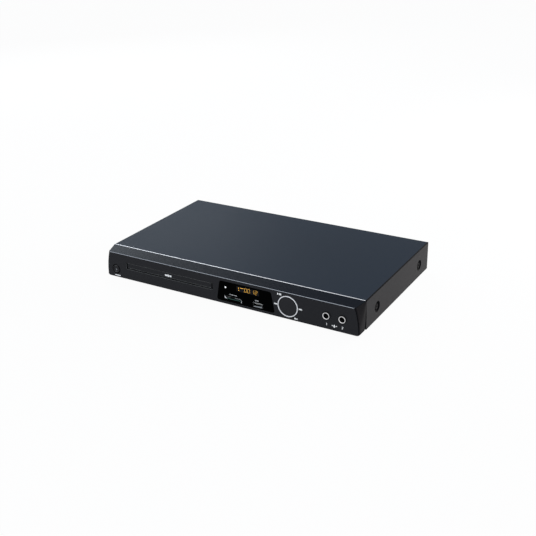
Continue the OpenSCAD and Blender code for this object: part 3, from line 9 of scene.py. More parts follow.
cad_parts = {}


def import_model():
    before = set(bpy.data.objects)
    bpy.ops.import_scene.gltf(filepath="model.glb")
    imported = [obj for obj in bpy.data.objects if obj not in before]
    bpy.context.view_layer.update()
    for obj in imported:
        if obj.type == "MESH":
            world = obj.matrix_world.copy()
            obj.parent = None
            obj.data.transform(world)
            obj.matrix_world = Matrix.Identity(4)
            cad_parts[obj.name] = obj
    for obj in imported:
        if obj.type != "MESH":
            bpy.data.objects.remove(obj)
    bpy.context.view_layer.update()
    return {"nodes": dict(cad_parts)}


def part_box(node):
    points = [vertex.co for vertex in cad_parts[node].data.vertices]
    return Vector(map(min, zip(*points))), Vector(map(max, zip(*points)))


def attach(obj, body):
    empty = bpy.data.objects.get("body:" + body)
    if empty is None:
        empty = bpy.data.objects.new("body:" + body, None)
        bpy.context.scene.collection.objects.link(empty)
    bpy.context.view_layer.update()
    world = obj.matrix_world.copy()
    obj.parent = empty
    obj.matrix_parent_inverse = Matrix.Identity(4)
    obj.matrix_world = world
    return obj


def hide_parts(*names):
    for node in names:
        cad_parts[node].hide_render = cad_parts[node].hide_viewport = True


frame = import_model()
MM = 0.001
MICRON = 0.000001
FRONT, BACK = -1.0, 1.0  # ways along Y in which a surface can look


# ---------- Places read from the frame ----------

def middle(node):
    low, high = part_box(node)
    return (low + high) / 2


def row(node, count):
    """X places, height and radius of the round parts in a row that make up a node."""
    low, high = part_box(node)
    radius = (high.z - low.z) / 2
    pitch = (high.x - low.x - 2 * radius) / (count - 1)
    return [low.x + radius + i * pitch for i in range(count)], (low.z + high.z) / 2, radius


cover_low, cover_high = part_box("top_cover")
door_low, door_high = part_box("tray_door")
window_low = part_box("display_window")[0]
tray_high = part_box("disc_tray")[1]
HALF_W = cover_high.x
BASE_Z, TOP_Z = cover_low.z, cover_high.z
SEAM_Y, COVER_BACK_Y = cover_low.y, cover_high.y
FACE_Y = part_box("front_fascia")[0].y
WINDOW_Y, DOOR_Y = window_low.y, door_low.y
NUT_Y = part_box("mic_jack_nuts")[0].y
PANEL_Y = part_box("rear_panel")[1].y
SHELL_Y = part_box("av_jack_shells")[1].y
POWER = middle("power_button")
NUT_XS, NUT_Z, NUT_R = row("mic_jack_nuts", 2)
PHONO_XS, PHONO_Z = row("av_jack_shells", 6)[:2]
CLOSE = 0.05 * MM  # what is this close to a surface lies on it
NEAR = 0.1 * MM  # the same for sheet metal and turned parts


# ---------- Shader and geometry nodes ----------

def put(tree, value, socket):
    """Links a socket to another one, or gives it a plain value."""
    if isinstance(value, bpy.types.NodeSocket):
        tree.links.new(value, socket)
    else:
        socket.default_value = value


def add_node(tree, kind, modes=(), in_order=(), **by_name):
    """New node with its modes, and its inputs in order or by name. Gives its outputs."""
    node = tree.nodes.new(kind)
    for label, value in dict(modes).items():
        setattr(node, label, value)
    for socket, value in zip(node.inputs, in_order):
        put(tree, value, socket)
    for label, value in by_name.items():
        put(tree, value, node.inputs[label.replace("_", " ")])
    return node.outputs


def maths(tree, operation, *values):
    return add_node(tree, "ShaderNodeMath", {"operation": operation}, values)[0]


def scaled(tree, value, factor, start):
    """Value times a factor, counted from a start."""
    return maths(tree, "ADD", maths(tree, "MULTIPLY", value, factor), start)


def noise(tree, vector, scale, detail=3.0, rough=0.5):
    return add_node(tree, "ShaderNodeTexNoise", Vector=vector, Scale=scale, Detail=detail,
                    Roughness=rough)[0]


def cells(tree, vector, scale, spread=1.0):
    return add_node(tree, "ShaderNodeTexVoronoi", Vector=vector, Scale=scale, Randomness=spread)


def add_socket(tree, label, kind, way="INPUT"):
    return tree.interface.new_socket(name=label, in_out=way, socket_type="NodeSocket" + kind)


# ---------- Node groups shared by the finishes ----------

def shader_group(name, fill, **settings):
    """Group with a Vector and number inputs, which fill turns into its named results."""
    tree = bpy.data.node_groups.new(name, "ShaderNodeTree")
    add_socket(tree, "Vector", "Vector")
    for label, value in settings.items():
        add_socket(tree, label, "Float").default_value = value
    given = tree.nodes.new("NodeGroupInput").outputs
    results = fill(tree, *[given[label] for label in ("Vector", *settings)])
    for label in results:
        add_socket(tree, label, "Float", "OUTPUT")
    add_node(tree, "NodeGroupOutput", **results)
    return tree


def fine_grain(tree, vector, scale):
    """Small pits and grains of a moulded or sprayed surface."""
    pit_share = 0.6
    pits = cells(tree, vector, scale)["Distance"]
    soft = noise(tree, vector, scale)
    return {"Height": maths(tree, "ADD", maths(tree, "MULTIPLY", pits, pit_share), soft),
            "Speck": maths(tree, "SUBTRACT", soft, 0.5)}


def broad_mottle(tree, vector, scale, amount):
    """Broad, faint unevenness of tone and gloss, as of handling and thin dust."""
    finer, wide_share, tone_reach, gloss_reach = 5.3, 0.7, 2.0, 1.2
    wide = noise(tree, vector, scale, 4.0, 0.6)
    fine = noise(tree, vector, maths(tree, "MULTIPLY", scale, finer), 3.0, 0.55)
    both = maths(tree, "ADD", maths(tree, "MULTIPLY", wide, wide_share),
                 maths(tree, "MULTIPLY", fine, 1.0 - wide_share))
    swing = maths(tree, "MULTIPLY", maths(tree, "SUBTRACT", both, 0.5), amount)
    return {"Tone": scaled(tree, swing, tone_reach, 1.0),
            "Gloss": maths(tree, "MULTIPLY", swing, gloss_reach)}


def brush_lines(tree, vector, scale):
    """Long fine lines of rolled or brushed metal. The vector is stretched before it comes in."""
    tone_reach, least_tone = 0.25, 0.87
    lines = noise(tree, vector, scale, 5.0, 0.7)
    return {"Height": lines, "Tone": scaled(tree, lines, tone_reach, least_tone)}


def zinc_spangle(tree, vector, scale):
    """Crystal patches of zinc plating."""
    tone_reach, least_tone, gloss_reach = 0.22, 0.82, 0.14
    crystals = cells(tree, vector, scale)["Color"]
    first, second = add_node(tree, "ShaderNodeSeparateColor", Color=crystals)[:2]
    return {"Tone": scaled(tree, first, tone_reach, least_tone),
            "Gloss": maths(tree, "MULTIPLY", second, gloss_reach)}


def board_tracks(tree, vector, scale):
    """Copper tracks and pads that show through a board's lacquer."""
    patch_scale, pad_spread, pad_r = 55.0, 0.35, 0.16
    lines = add_node(tree, "ShaderNodeTexBrick", Vector=vector, Scale=scale, Mortar_Size=0.07,
                     Mortar_Smooth=0.1, Brick_Width=1.9, Row_Height=0.34)["Fac"]
    gate = maths(tree, "GREATER_THAN", noise(tree, vector, patch_scale, 1.0), 0.5)
    pads = cells(tree, vector, scale, pad_spread)["Distance"]
    return {"Copper": maths(tree, "MULTIPLY", lines, gate),
            "Pads": maths(tree, "LESS_THAN", pads, pad_r)}


FINE_GRAIN = shader_group("fine grain", fine_grain, Scale=1500.0)
MOTTLE = shader_group("broad mottle", broad_mottle, Scale=14.0, Amount=0.1)
BRUSHING = shader_group("brush lines", brush_lines, Scale=900.0)
SPANGLE = shader_group("zinc spangle", zinc_spangle, Scale=160.0)
TRACKS = shader_group("board tracks", board_tracks, Scale=260.0)


# ---------- How a finish is made ----------

PLASTIC_IOR = 1.45
FINISHES = {}


def shared(tree, group, vector, **settings):
    """Outputs of one of the shared groups."""
    return add_node(tree, "ShaderNodeGroup", {"node_tree": group}, Vector=vector, **settings)


def tinted(tree, tone, colour):
    """Colour times a tone that changes over the surface."""
    return add_node(tree, "ShaderNodeVectorMath", {"operation": "SCALE"}, Vector=colour,
                    Scale=tone)[0]


def blended(tree, factor, first, second):
    """Colour that goes from the first to the second."""
    node = tree.nodes.new("ShaderNodeMix")
    node.data_type = "RGBA"
    for i, value in ((0, factor), (6, first), (7, second)):
        put(tree, value, node.inputs[i])
    return node.outputs[2]


def finish(name, colour, rough, metal=0.0, level=0.5, grain=1500.0, depth=10.0, mottle=14.0,
           swing=0.1, speck=0.0, brushed=None, spangled=False, tracks=None, coat=0.0,
           coat_rough=0.1, glow=0.0):
    """Procedural finish on Object coordinates. depth is the height of its grain in micrometres."""
    material = bpy.data.materials.new(name)
    material.use_nodes = True
    material.diffuse_color = (*colour, 1.0)
    tree = material.node_tree
    place = add_node(tree, "ShaderNodeTexCoord")["Object"]
    patches = shared(tree, MOTTLE, place, Scale=mottle, Amount=swing)
    tone, gloss = patches["Tone"], patches["Gloss"]
    if brushed:
        stretched = add_node(tree, "ShaderNodeMapping", Vector=place, Scale=brushed)[0]
        relief = shared(tree, BRUSHING, stretched, Scale=grain)
        tone = maths(tree, "MULTIPLY", tone, relief["Tone"])
    else:
        relief = shared(tree, FINE_GRAIN, place, Scale=grain)
        if speck:
            tone = maths(tree, "ADD", tone, maths(tree, "MULTIPLY", relief["Speck"], speck))
    if spangled:
        crystals = shared(tree, SPANGLE, place)
        tone = maths(tree, "MULTIPLY", tone, crystals["Tone"])
        gloss = maths(tree, "ADD", gloss, crystals["Gloss"])
    surface = tinted(tree, tone, colour)
    if tracks:
        copper = shared(tree, TRACKS, place)
        surface = blended(tree, copper["Copper"], surface, tracks[0])
        surface = blended(tree, copper["Pads"], surface, tracks[1])
    bump = add_node(tree, "ShaderNodeBump", Height=relief["Height"], Distance=depth * MICRON)[0]
    looks = {"Base Color": surface, "Roughness": maths(tree, "ADD", gloss, rough), "Normal": bump,
             "Metallic": metal, "Specular IOR Level": level, "IOR": PLASTIC_IOR,
             "Coat Weight": coat, "Coat Roughness": coat_rough}
    if glow:
        looks.update({"Emission Color": surface, "Emission Strength": glow})
    for label, value in looks.items():
        put(tree, value, tree.nodes["Principled BSDF"].inputs[label])
    FINISHES[name] = material


# ---------- Finishes of the case ----------

SPRAYED = {"grain": 2600, "depth": 12, "mottle": 9, "speck": 0.10}
# One paint on the cover, given as lit copies: the top with a painted blue tint of reflected light, the
# sides in a painted neutral tone.
finish("cover_paint", (0.0262, 0.0350, 0.0480), 0.44, level=0.016, swing=0.08, **SPRAYED)
finish("cover_side", (0.0375, 0.0358, 0.0364), 0.42, level=0.03, **SPRAYED)
# Near-black paint that stands for shade: along the cover's folds, in its cups and at its seam, and along
# the fascia's corners and the bevel's ends.
finish("cover_fold", (0.004, 0.0042, 0.005), 0.6, level=0.02, grain=2600, depth=8, swing=0.05)
finish("zinc_steel", (0.56, 0.57, 0.57), 0.36, metal=1.0, grain=900, depth=6, spangled=True)
finish("plated_sheet", (0.52, 0.53, 0.54), 0.33, metal=1.0, grain=700, depth=5, brushed=(0.05, 1.0, 1.0))
finish("black_screw", (0.006, 0.006, 0.0065), 0.5, level=0.08, grain=4000, depth=6)
finish("foot_rubber", (0.016, 0.016, 0.017), 0.75, level=0.3, grain=3000, depth=30, speck=0.3)
# Near-black paint that stands for the shade in gaps: the power button's moat, the fascia's rims at the
# seams and the strips inside them.
finish("dark_gap", (0.004, 0.004, 0.004), 0.8, level=0.1)

# ---------- Finishes of the front ----------

MOULDED = {"grain": 3000, "mottle": 11, "swing": 0.07}
SMOOTH = {"depth": 3, "swing": 0.05}
finish("fascia_plastic", (0.0165, 0.0168, 0.0195), 0.46, level=0.12, depth=20, speck=0.25, **MOULDED)
# Darker copy of the fascia's plastic for its sides: painted shade.
finish("side_plastic", (0.0125, 0.0114, 0.0125), 0.5, level=0.04, depth=20, speck=0.25, **MOULDED)
# The bevel's plastic, glossier than the face, with a painted blue tint and a darker tone for how light
# falls on it.
finish("fascia_top", (0.0060, 0.0092, 0.0150), 0.26, level=0.030, depth=12, speck=0.2, **MOULDED)
# Pale, half-metal paint on the ridge between the face and the bevel: a painted highlight.
finish("fascia_edge", (0.48, 0.51, 0.56), 0.42, metal=0.4, grain=3000, **SMOOTH)
finish("door_plastic", (0.0155, 0.016, 0.0185), 0.40, level=0.12, grain=2600, speck=0.2)
# Pale, metallic paint for highlights on edges: the door's long edges, the slot's rim, the window's lower
# edge and the power cap's upper left rim.
finish("door_edge", (0.125, 0.129, 0.133), 0.3, metal=0.6, grain=3000, **SMOOTH)
finish("button_plastic", (0.0165, 0.0168, 0.0195), 0.42, level=0.15, grain=3000, depth=16, speck=0.25)
finish("window_gloss", (0.0008, 0.0008, 0.0009), 0.07, level=0.006, grain=300, depth=1, swing=0.03)
finish("display_glass", (0.0085, 0.0080, 0.0105), 0.22, level=0.05, grain=900, depth=2)
finish("slot_teal", (0.045, 0.125, 0.100), 0.35, depth=4)
finish("trim_chrome", (0.80, 0.81, 0.84), 0.5, metal=0.55, depth=2, brushed=(0.03, 1.0, 1.0), swing=0.05)
finish("ring_silver", (0.93, 0.93, 0.94), 0.36, metal=0.35, grain=1200, **SMOOTH)
finish("nut_chrome", (0.70, 0.70, 0.71), 0.16, metal=1.0, grain=1200, **SMOOTH)
# Dark steel of the plug mouth's shell, also used as painted shade on the chrome nuts of the microphone
# jacks.
finish("dark_steel", (0.085, 0.087, 0.09), 0.34, metal=1.0, grain=1200, **SMOOTH)

# ---------- Finishes of prints, the lit display, a painted glint and collars ---

# Prints. The white and soft ones also glow a little, which is painted light, and the soft and grey ones
# also paint highlights by the card slot and the plug mouth.
for label, colour, glow in (("print_white_painted_glow", (0.92, 0.92, 0.90), 0.3),
                            ("print_soft_glow_and_highlight", (0.62, 0.62, 0.61), 0.2),
                            ("print_grey_and_highlight", (0.36, 0.37, 0.37), 0.0),
                            ("print_dark", (0.03, 0.03, 0.032), 0.0)):
    finish(label, colour, 0.5, level=0.3, grain=3000, depth=4, swing=0.05, glow=glow)
finish("amber_light", (0.80, 0.42, 0.05), 0.4, depth=1, swing=0.3, glow=1.0)
# White that glows on a dot over the receiver's eye: a painted glint.
finish("painted_glint_white", (0.92, 0.93, 0.90), 0.3, depth=1, glow=0.5)
for label, colour in (("yellow", (0.80, 0.56, 0.015)), ("white", (0.78, 0.78, 0.74)),
                      ("red", (0.52, 0.012, 0.012)), ("green", (0.012, 0.27, 0.055)),
                      ("blue", (0.012, 0.06, 0.42))):
    finish("collar_" + label, colour, 0.33)

# ---------- Finishes of the inside ----------

PAD_TIN = (0.55, 0.56, 0.54, 1.0)
finish("white_plastic", (0.72, 0.71, 0.66), 0.42, grain=2000, swing=0.06)
finish("part_black", (0.015, 0.015, 0.016), 0.48, level=0.4, grain=2600, depth=14, speck=0.2)
finish("tray_plastic", (0.022, 0.022, 0.025), 0.46, level=0.4, grain=2400, depth=18, speck=0.2)
finish("rubber_belt", (0.012, 0.012, 0.013), 0.7, level=0.3, grain=2600, depth=20)
finish("board_green", (0.010, 0.105, 0.040), 0.32, grain=900, coat=0.3,
       tracks=((0.03, 0.20, 0.085, 1.0), PAD_TIN))
finish("board_brown", (0.24, 0.15, 0.065), 0.5, grain=900,
       tracks=((0.18, 0.11, 0.05, 1.0), PAD_TIN))
finish("transformer_tape", (0.72, 0.52, 0.06), 0.3, grain=700, depth=20, brushed=(1.0, 1.0, 0.15),
       coat=0.4)
finish("capacitor_sleeve", (0.014, 0.026, 0.085), 0.28, grain=800, depth=8, coat=0.4)
finish("ribbon", (0.60, 0.61, 0.59), 0.4, grain=800, depth=40, brushed=(1.0, 0.02, 0.02))
finish("brass", (0.72, 0.52, 0.20), 0.26, metal=1.0, grain=1400, depth=4, brushed=(1.0, 1.0, 0.1))
finish("aluminium", (0.66, 0.67, 0.68), 0.34, metal=1.0, grain=900, depth=6,
       brushed=(1.0, 1.0, 0.06))
finish("magnet", (0.30, 0.31, 0.32), 0.32, metal=1.0, grain=900, depth=4)
finish("lens_glass", (0.16, 0.26, 0.48), 0.05, grain=300, depth=1, swing=0.04, coat=1.0,
       coat_rough=0.03)


# ---------- Making pieces ----------

SMOOTH_TURN = 32  # degrees between faces that still shade as one rounding
FLAT_TURN = 1.5  # degrees between faces that count as one plane
BROAD_RATIO = 6.0  # a face this many times its neighbour's area keeps its flat shading
EDGE_TURN = 30  # degrees between faces from which their edge can be eased


def in_scene(name, data):
    """New object of the scene."""
    thing = bpy.data.objects.new(name, data)
    bpy.context.scene.collection.objects.link(thing)
    return thing


def to_piece(name, mesh, finishes, body="chassis", replaced=()):
    """Object of a finished mesh, with its finishes, that rides on a body."""
    piece = in_scene(name, mesh)
    for label in finishes:
        mesh.materials.append(FINISHES[label])
    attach(piece, body)
    if replaced:
        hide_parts(*replaced)


def closed_mesh(name, bm, smooth_turn=SMOOTH_TURN):
    """Mesh of the shape, smooth over its roundings. Broad faces stay flat beside narrow ones."""
    bmesh.ops.recalc_face_normals(bm, faces=bm.faces)
    for face in bm.faces:
        face.smooth = True
    for edge in bm.edges:
        if len(edge.link_faces) == 2:
            turn = math.degrees(edge.calc_face_angle(0.0))
            less, more = sorted(face.calc_area() for face in edge.link_faces)
            edge.smooth = turn < smooth_turn and (turn < FLAT_TURN or less * BROAD_RATIO > more)
    mesh = bpy.data.meshes.new(name)
    bm.to_mesh(mesh)
    bm.free()
    return mesh


def finished(name, bm, finishes, body, replaced, paint, turn=SMOOTH_TURN):
    """Piece of a shape. paint names the finish of a face from its centre and normal."""
    if paint:
        for face in bm.faces:
            label = paint(face.calc_center_median(), face.normal)
            face.material_index = finishes.index(label)
    to_piece(name, closed_mesh(name, bm, turn), finishes, body, replaced)


def built(name, fill, finishes, body="chassis", replaced=(), paint=None, turn=SMOOTH_TURN):
    """Piece of a shape that fill adds to an empty mesh."""
    bm = bmesh.new()
    fill(bm)
    finished(name, bm, finishes, body, replaced, paint, turn)


def from_node(node):
    """Merged copy of a CAD node's shape with flat faces in one piece."""
    bm = bmesh.new()
    bm.from_mesh(frame["nodes"][node].data)
    bmesh.ops.remove_doubles(bm, verts=bm.verts, dist=2 * MICRON)
    bmesh.ops.dissolve_limit(bm, angle_limit=math.radians(0.4), use_dissolve_boundaries=False,
                             verts=bm.verts, edges=bm.edges)
    return bm


def ease_edges(bm, radius, segments, chosen, least=EDGE_TURN):
    """Rounds the chosen edges, by a radius in mm, where their faces meet at more than least."""
    edges = [edge for edge in bm.edges if len(edge.link_faces) == 2
             and edge.calc_face_angle(0.0) > math.radians(least)
             and chosen((edge.verts[0].co + edge.verts[1].co) / 2, edge)]
    if edges:
        bmesh.ops.bevel(bm, geom=edges, offset=radius * MM, segments=segments, profile=0.5,
                        affect="EDGES", clamp_overlap=False)


def anywhere(_mid, _edge):
    return True


def before(y):
    return lambda mid, _edge: mid.y < y


def beyond(y):
    return lambda mid, _edge: mid.y > y


def under(z):
    return lambda mid, _edge: mid.z < z


def over(z):
    return lambda mid, _edge: mid.z > z


def along(edge):
    """Direction of an edge."""
    return (edge.verts[0].co - edge.verts[1].co).normalized()


def dressed(name, node, finishes, eases, body="chassis", shape=None, paint=None):
    """Piece of a CAD node's shape, reshaped a little, with eased edges and painted faces."""
    bm = from_node(node)
    if shape:
        shape(bm)
    for radius, segments, chosen in eases:
        ease_edges(bm, radius, segments, chosen)
    bmesh.ops.dissolve_degenerate(bm, dist=MICRON, edges=bm.edges)
    finished(name, bm, finishes, body, (node,), paint)


def turned_ring(bm, centre, profile, looks=FRONT, steps=64, material=0):
    """Closed ring turned about Y. profile holds (radius, height) pairs round its section, in mm,
    with heights counted the way that the ring looks."""
    rings = []
    for i in range(steps):
        angle = 2 * math.pi * i / steps
        across, up = math.cos(angle), math.sin(angle)
        rings.append([bm.verts.new(centre + Vector((r * across, looks * out, r * up)) * MM)
                      for r, out in profile])
    for i in range(steps):
        here, there = rings[i], rings[(i + 1) % steps]
        for j in range(len(profile)):
            k = (j + 1) % len(profile)
            face = bm.faces.new((here[j], here[k], there[k], there[j]))
            face.material_index = material


def from_nearest(xs, z, spot):
    """Distance, seen from the front, to the nearest of the round parts in a row."""
    return min(math.hypot(spot.x - x, spot.z - z) for x in xs)


# ---------- Making marks ----------

PROUD, SUNK = 0.03, -0.03  # mm, a print's front and back, counted from its surface
MITRE_LIMIT = 0.45  # least cosine for a stroke's mitred corner


def at(x, z, y, looks=FRONT, size=1.0):
    """Place of a mark's own millimetres round a point of an upright surface."""
    def place(right, up, out):
        return Vector((x - looks * right * size * MM, y + looks * out * MM, z + up * size * MM))
    return place


def beside(node, right, up, y, looks=FRONT, size=1.0):
    """The same, round a point that lies so many mm to +X of a node's middle and above it."""
    spot = middle(node)
    return at(spot.x + right * MM, spot.z + up * MM, y, looks, size)


def add_plate(bm, outline, place, front=PROUD, back=SUNK, material=0):
    """Thin plate with a convex outline."""
    fronts = [bm.verts.new(place(u, v, front)) for u, v in outline]
    backs = [bm.verts.new(place(u, v, back)) for u, v in outline]
    faces = [bm.faces.new(fronts), bm.faces.new(backs[::-1])]
    for i in range(len(outline)):
        j = (i + 1) % len(outline)
        faces.append(bm.faces.new((fronts[i], backs[i], backs[j], fronts[j])))
    for face in faces:
        face.material_index = material


def add_stroke(bm, points, width, place, closed=False, front=PROUD, back=SUNK):
    """Line of one width through the points, with mitred corners."""
    spots = [Vector(point) for point in points]
    legs = [(there - here).normalized() for here, there in zip(spots, spots[1:] + spots[:1])]
    last = len(spots) - 1
    rows = []
    for i, here in enumerate(spots):
        arriving = legs[i - 1] if closed or i > 0 else legs[i]
        leaving = legs[i] if closed or i < last else legs[i - 1]
        across = Vector((-(arriving.y + leaving.y), arriving.x + leaving.x)).normalized()
        mitre = max(MITRE_LIMIT, across.dot(Vector((-arriving.y, arriving.x))))
        side = across * (width / 2 / mitre)
        left, right = here + side, here - side
        corners = ((left, front), (right, front), (right, back), (left, back))
        rows.append([bm.verts.new(place(spot.x, spot.y, out)) for spot, out in corners])
    for i in range(len(spots) if closed else last):
        here, there = rows[i], rows[(i + 1) % len(rows)]
        for j in range(4):
            k = (j + 1) % 4
            bm.faces.new((here[j], here[k], there[k], there[j]))
    if not closed:
        bm.faces.new(rows[0])
        bm.faces.new(rows[-1][::-1])


def arc(cx, cy, rx, ry, start, stop, steps):
    """Points of an arc between two angles in degrees."""
    angles = [math.radians(start + (stop - start) * i / steps) for i in range(steps + 1)]
    return [(cx + rx * math.cos(angle), cy + ry * math.sin(angle)) for angle in angles]


def circle(r, steps=28):
    return arc(0, 0, r, r, 0, 360, steps)[:-1]


def box_points(x0, y0, x1, y1):
    return [(x0, y0), (x1, y0), (x1, y1), (x0, y1)]


def bars(bm, place, spans, half):
    """Bars with the given spans along X. half is half their height."""
    for start, stop in spans:
        add_plate(bm, box_points(start, -half, stop, half), place)


def pointer(bm, place, base, tip, half):
    """Solid triangle that points along its own X."""
    add_plate(bm, [(base, -half), (tip, 0.0), (base, half)], place)


NUMERALS = {
    1: [(-0.14, 0.26), (0.06, 0.5), (0.06, -0.5)],
    2: [(-0.27, 0.28), (-0.2, 0.45), (0.0, 0.5), (0.2, 0.44), (0.28, 0.27), (0.2, 0.06),
        (-0.28, -0.5), (0.3, -0.5)],
    3: [(-0.27, 0.4), (0.0, 0.5), (0.24, 0.38), (0.2, 0.12), (-0.04, 0.04), (0.22, -0.06),
        (0.28, -0.3), (0.02, -0.5), (-0.28, -0.38)],
    4: [(0.14, -0.5), (0.14, 0.5), (-0.3, -0.2), (0.32, -0.2)],
    5: [(0.25, 0.5), (-0.2, 0.5), (-0.24, 0.06), (0.06, 0.12), (0.28, -0.1), (0.22, -0.4),
        (0.0, -0.5), (-0.27, -0.4)],
    6: [(0.2, 0.5), (-0.1, 0.28), (-0.27, -0.1), (-0.22, -0.4), (0.0, -0.5), (0.24, -0.38),
        (0.26, -0.1), (0.04, 0.06), (-0.22, -0.08)],
}


def add_numeral(bm, number, height, width, place):
    add_stroke(bm, [(u * height, v * height) for u, v in NUMERALS[number]], width, place)


# ---------- Geometry Nodes for what repeats ----------

SEED = 7


def make_unit_tree():
    """Copies of a unit on a mesh's points, each turned about an axis by a random angle."""
    tree = bpy.data.node_groups.new("units on points", "GeometryNodeTree")
    kinds = {"Points": "Geometry", "Unit": "Object", "Widest Turn": "Vector", "Seed": "Int",
             "Finish": "Material"}
    keys = {label: add_socket(tree, label, kind) for label, kind in kinds.items()}
    add_socket(tree, "Geometry", "Geometry", "OUTPUT")
    given = tree.nodes.new("NodeGroupInput").outputs
    unit = add_node(tree, "GeometryNodeObjectInfo", Object=given["Unit"])["Geometry"]
    chance = add_node(tree, "FunctionNodeRandomValue", {"data_type": "FLOAT_VECTOR"},
                      Max=given["Widest Turn"], Seed=given["Seed"])[0]
    turn = add_node(tree, "FunctionNodeEulerToRotation", Euler=chance)[0]
    copies = add_node(tree, "GeometryNodeInstanceOnPoints", Points=given["Points"], Instance=unit,
                      Rotation=turn)[0]
    whole = add_node(tree, "GeometryNodeRealizeInstances", Geometry=copies)[0]
    coated = add_node(tree, "GeometryNodeSetMaterial", Geometry=whole, Material=given["Finish"])[0]
    add_node(tree, "NodeGroupOutput", Geometry=coated)
    return tree, {label: socket.identifier for label, socket in keys.items()}


UNIT_TREE, UNIT_KEYS = make_unit_tree()


def repeated(name, unit_mesh, places, finish_name, widest_turn=(0.0, 0.0, 0.0)):
    """Plain mesh of the unit on every place, in metres."""
    unit = in_scene(name + "_unit", unit_mesh)
    points = bpy.data.meshes.new(name + "_points")
    points.from_pydata([tuple(place) for place in places], [], [])
    holder = in_scene(name + "_holder", points)
    modifier = holder.modifiers.new("units", "NODES")
    modifier.node_group = UNIT_TREE
    for label, value in (("Unit", unit), ("Widest Turn", widest_turn), ("Seed", SEED),
                         ("Finish", FINISHES[finish_name])):
        modifier[UNIT_KEYS[label]] = value
    bpy.context.view_layer.update()
    evaluated = holder.evaluated_get(bpy.context.evaluated_depsgraph_get())
    mesh = bpy.data.meshes.new_from_object(evaluated)
    holder.modifiers.remove(modifier)
    bpy.data.objects.remove(holder)
    bpy.data.objects.remove(unit)
    return mesh


def islands(bm):
    """Groups of verts that are joined to each other, each in the order in which it was found."""
    met = set()
    groups = []
    for first in bm.verts:
        if first not in met:
            met.add(first)
            group = [first]
            for vert in group:
                for edge in vert.link_edges:
                    other = edge.other_vert(vert)
                    if other not in met:
                        met.add(other)
                        group.append(other)
            groups.append(group)
    return groups


SCREW_EASE, SCREW_EDGE_TURN = 0.12, 50  # mm and degrees


def screws(name, node, chosen, widest_turn):
    """A CAD node's screws on the chosen side, eased, each turned by its own angle."""
    bm = from_node(node)
    groups = [(group, sum((vert.co for vert in group), Vector()) / len(group))
              for group in islands(bm)]
    groups = [(group, place) for group, place in groups if chosen(place)]
    groups.sort(key=lambda entry: [round(value, 5) for value in entry[1]])
    places = [place for _group, place in groups]
    kept = set(groups[0][0])
    bmesh.ops.delete(bm, geom=[vert for vert in bm.verts if vert not in kept], context="VERTS")
    ease_edges(bm, SCREW_EASE, 2, anywhere, SCREW_EDGE_TURN)
    bmesh.ops.translate(bm, verts=bm.verts, vec=-places[0])
    unit = closed_mesh(name + "_one", bm)
    to_piece(name, repeated(name, unit, places, "black_screw", widest_turn), (),
             replaced=(node,))


# ---------- Case ----------

STRAIGHT = 0.9  # share of a direction that counts as lying along an axis
FOLD_R = 1.1  # mm, rounding of the cover's folds
# Width of the painted shade along a fold.
FOLD_SHADE_BAND = 1.2 * MM  # the darker line along a fold
FOLD_CORNER = 3 * MM  # where two folds meet
CUP_DEPTH = 4 * MM  # of the pressed cups round the side screws
CUPS_LOW, CUPS_HIGH = BASE_Z + 5 * MM, TOP_Z - 8 * MM
CUPS_BACK = COVER_BACK_Y - 9 * MM


def fold_edges(mid, edge):
    """Long folds along both sides and along the back of the top."""
    way = along(edge)
    at_side = abs(way.y) > STRAIGHT and abs(mid.x) > HALF_W - NEAR
    at_back = abs(way.x) > STRAIGHT and mid.y > COVER_BACK_Y - NEAR
    return (at_side or at_back) and mid.z > TOP_Z - NEAR


def outer_rims(mid, _edge):
    """Rims of the sheet, but not at the back corners, where the folds meet."""
    inward, forward, down = HALF_W - abs(mid.x), COVER_BACK_Y - mid.y, TOP_Z - mid.z
    return min(inward, forward, down) < NEAR and max(inward, forward, down) >= FOLD_CORNER


def cover_finish(centre, normal):
    """Painted shade along the folds, in the side cups and at the seam; lit copies of the paint on the
    top and the sides.
    """
    inward, down = HALF_W - abs(centre.x), TOP_Z - centre.z
    fold_shade = inward < FOLD_SHADE_BAND and down < FOLD_SHADE_BAND and 0.1 < abs(normal.x) < 0.99
    cup_shade = CLOSE < inward < CUP_DEPTH and CUPS_LOW < centre.z < CUPS_HIGH \
        and abs(centre.y) < CUPS_BACK
    seam_shade = centre.y < SEAM_Y + 0.2 * MM and down > 3 * MM
    if fold_shade or cup_shade or seam_shade:
        return "cover_fold"
    return "cover_side" if abs(normal.x) > STRAIGHT else "cover_paint"


def make_case():
    dressed("cover_shell", "top_cover", ["cover_paint", "cover_side", "cover_fold"],
            [(FOLD_R, 4, fold_edges), (0.12, 2, outer_rims)], paint=cover_finish)
    dressed("pan_shell", "base_pan", ["zinc_steel"],
            [(0.12, 2, under(BASE_Z + NEAR))])
    dressed("rear_plate", "rear_panel", ["plated_sheet"],
            [(0.08, 1, beyond(PANEL_Y - NEAR))])
    dressed("feet", "rubber_feet", ["foot_rubber"], [(0.7, 4, under(NEAR))])


# ---------- Fascia ----------

SEAM_GAP = 2.2 * MM  # opening of the side seams at the foot
SEAM_TOP_Z = TOP_Z - 6 * MM  # where the opening begins
GABLE_W = 9 * MM  # width of the bevel's sloping ends
BEVEL_Z = BASE_Z + 33 * MM  # where the face ends and the bevel begins
# RIDGE_DEPTH also bounds the painted highlight along the ridge.
RIDGE_DEPTH = 0.6 * MM  # of the bright line between the face and the bevel
SKIN = 0.02 * MM  # what is deeper than this lies behind the face
FRONT_WALL = 3 * MM  # depth of the face's openings
MOAT_R = 7.0 * MM  # round the power button


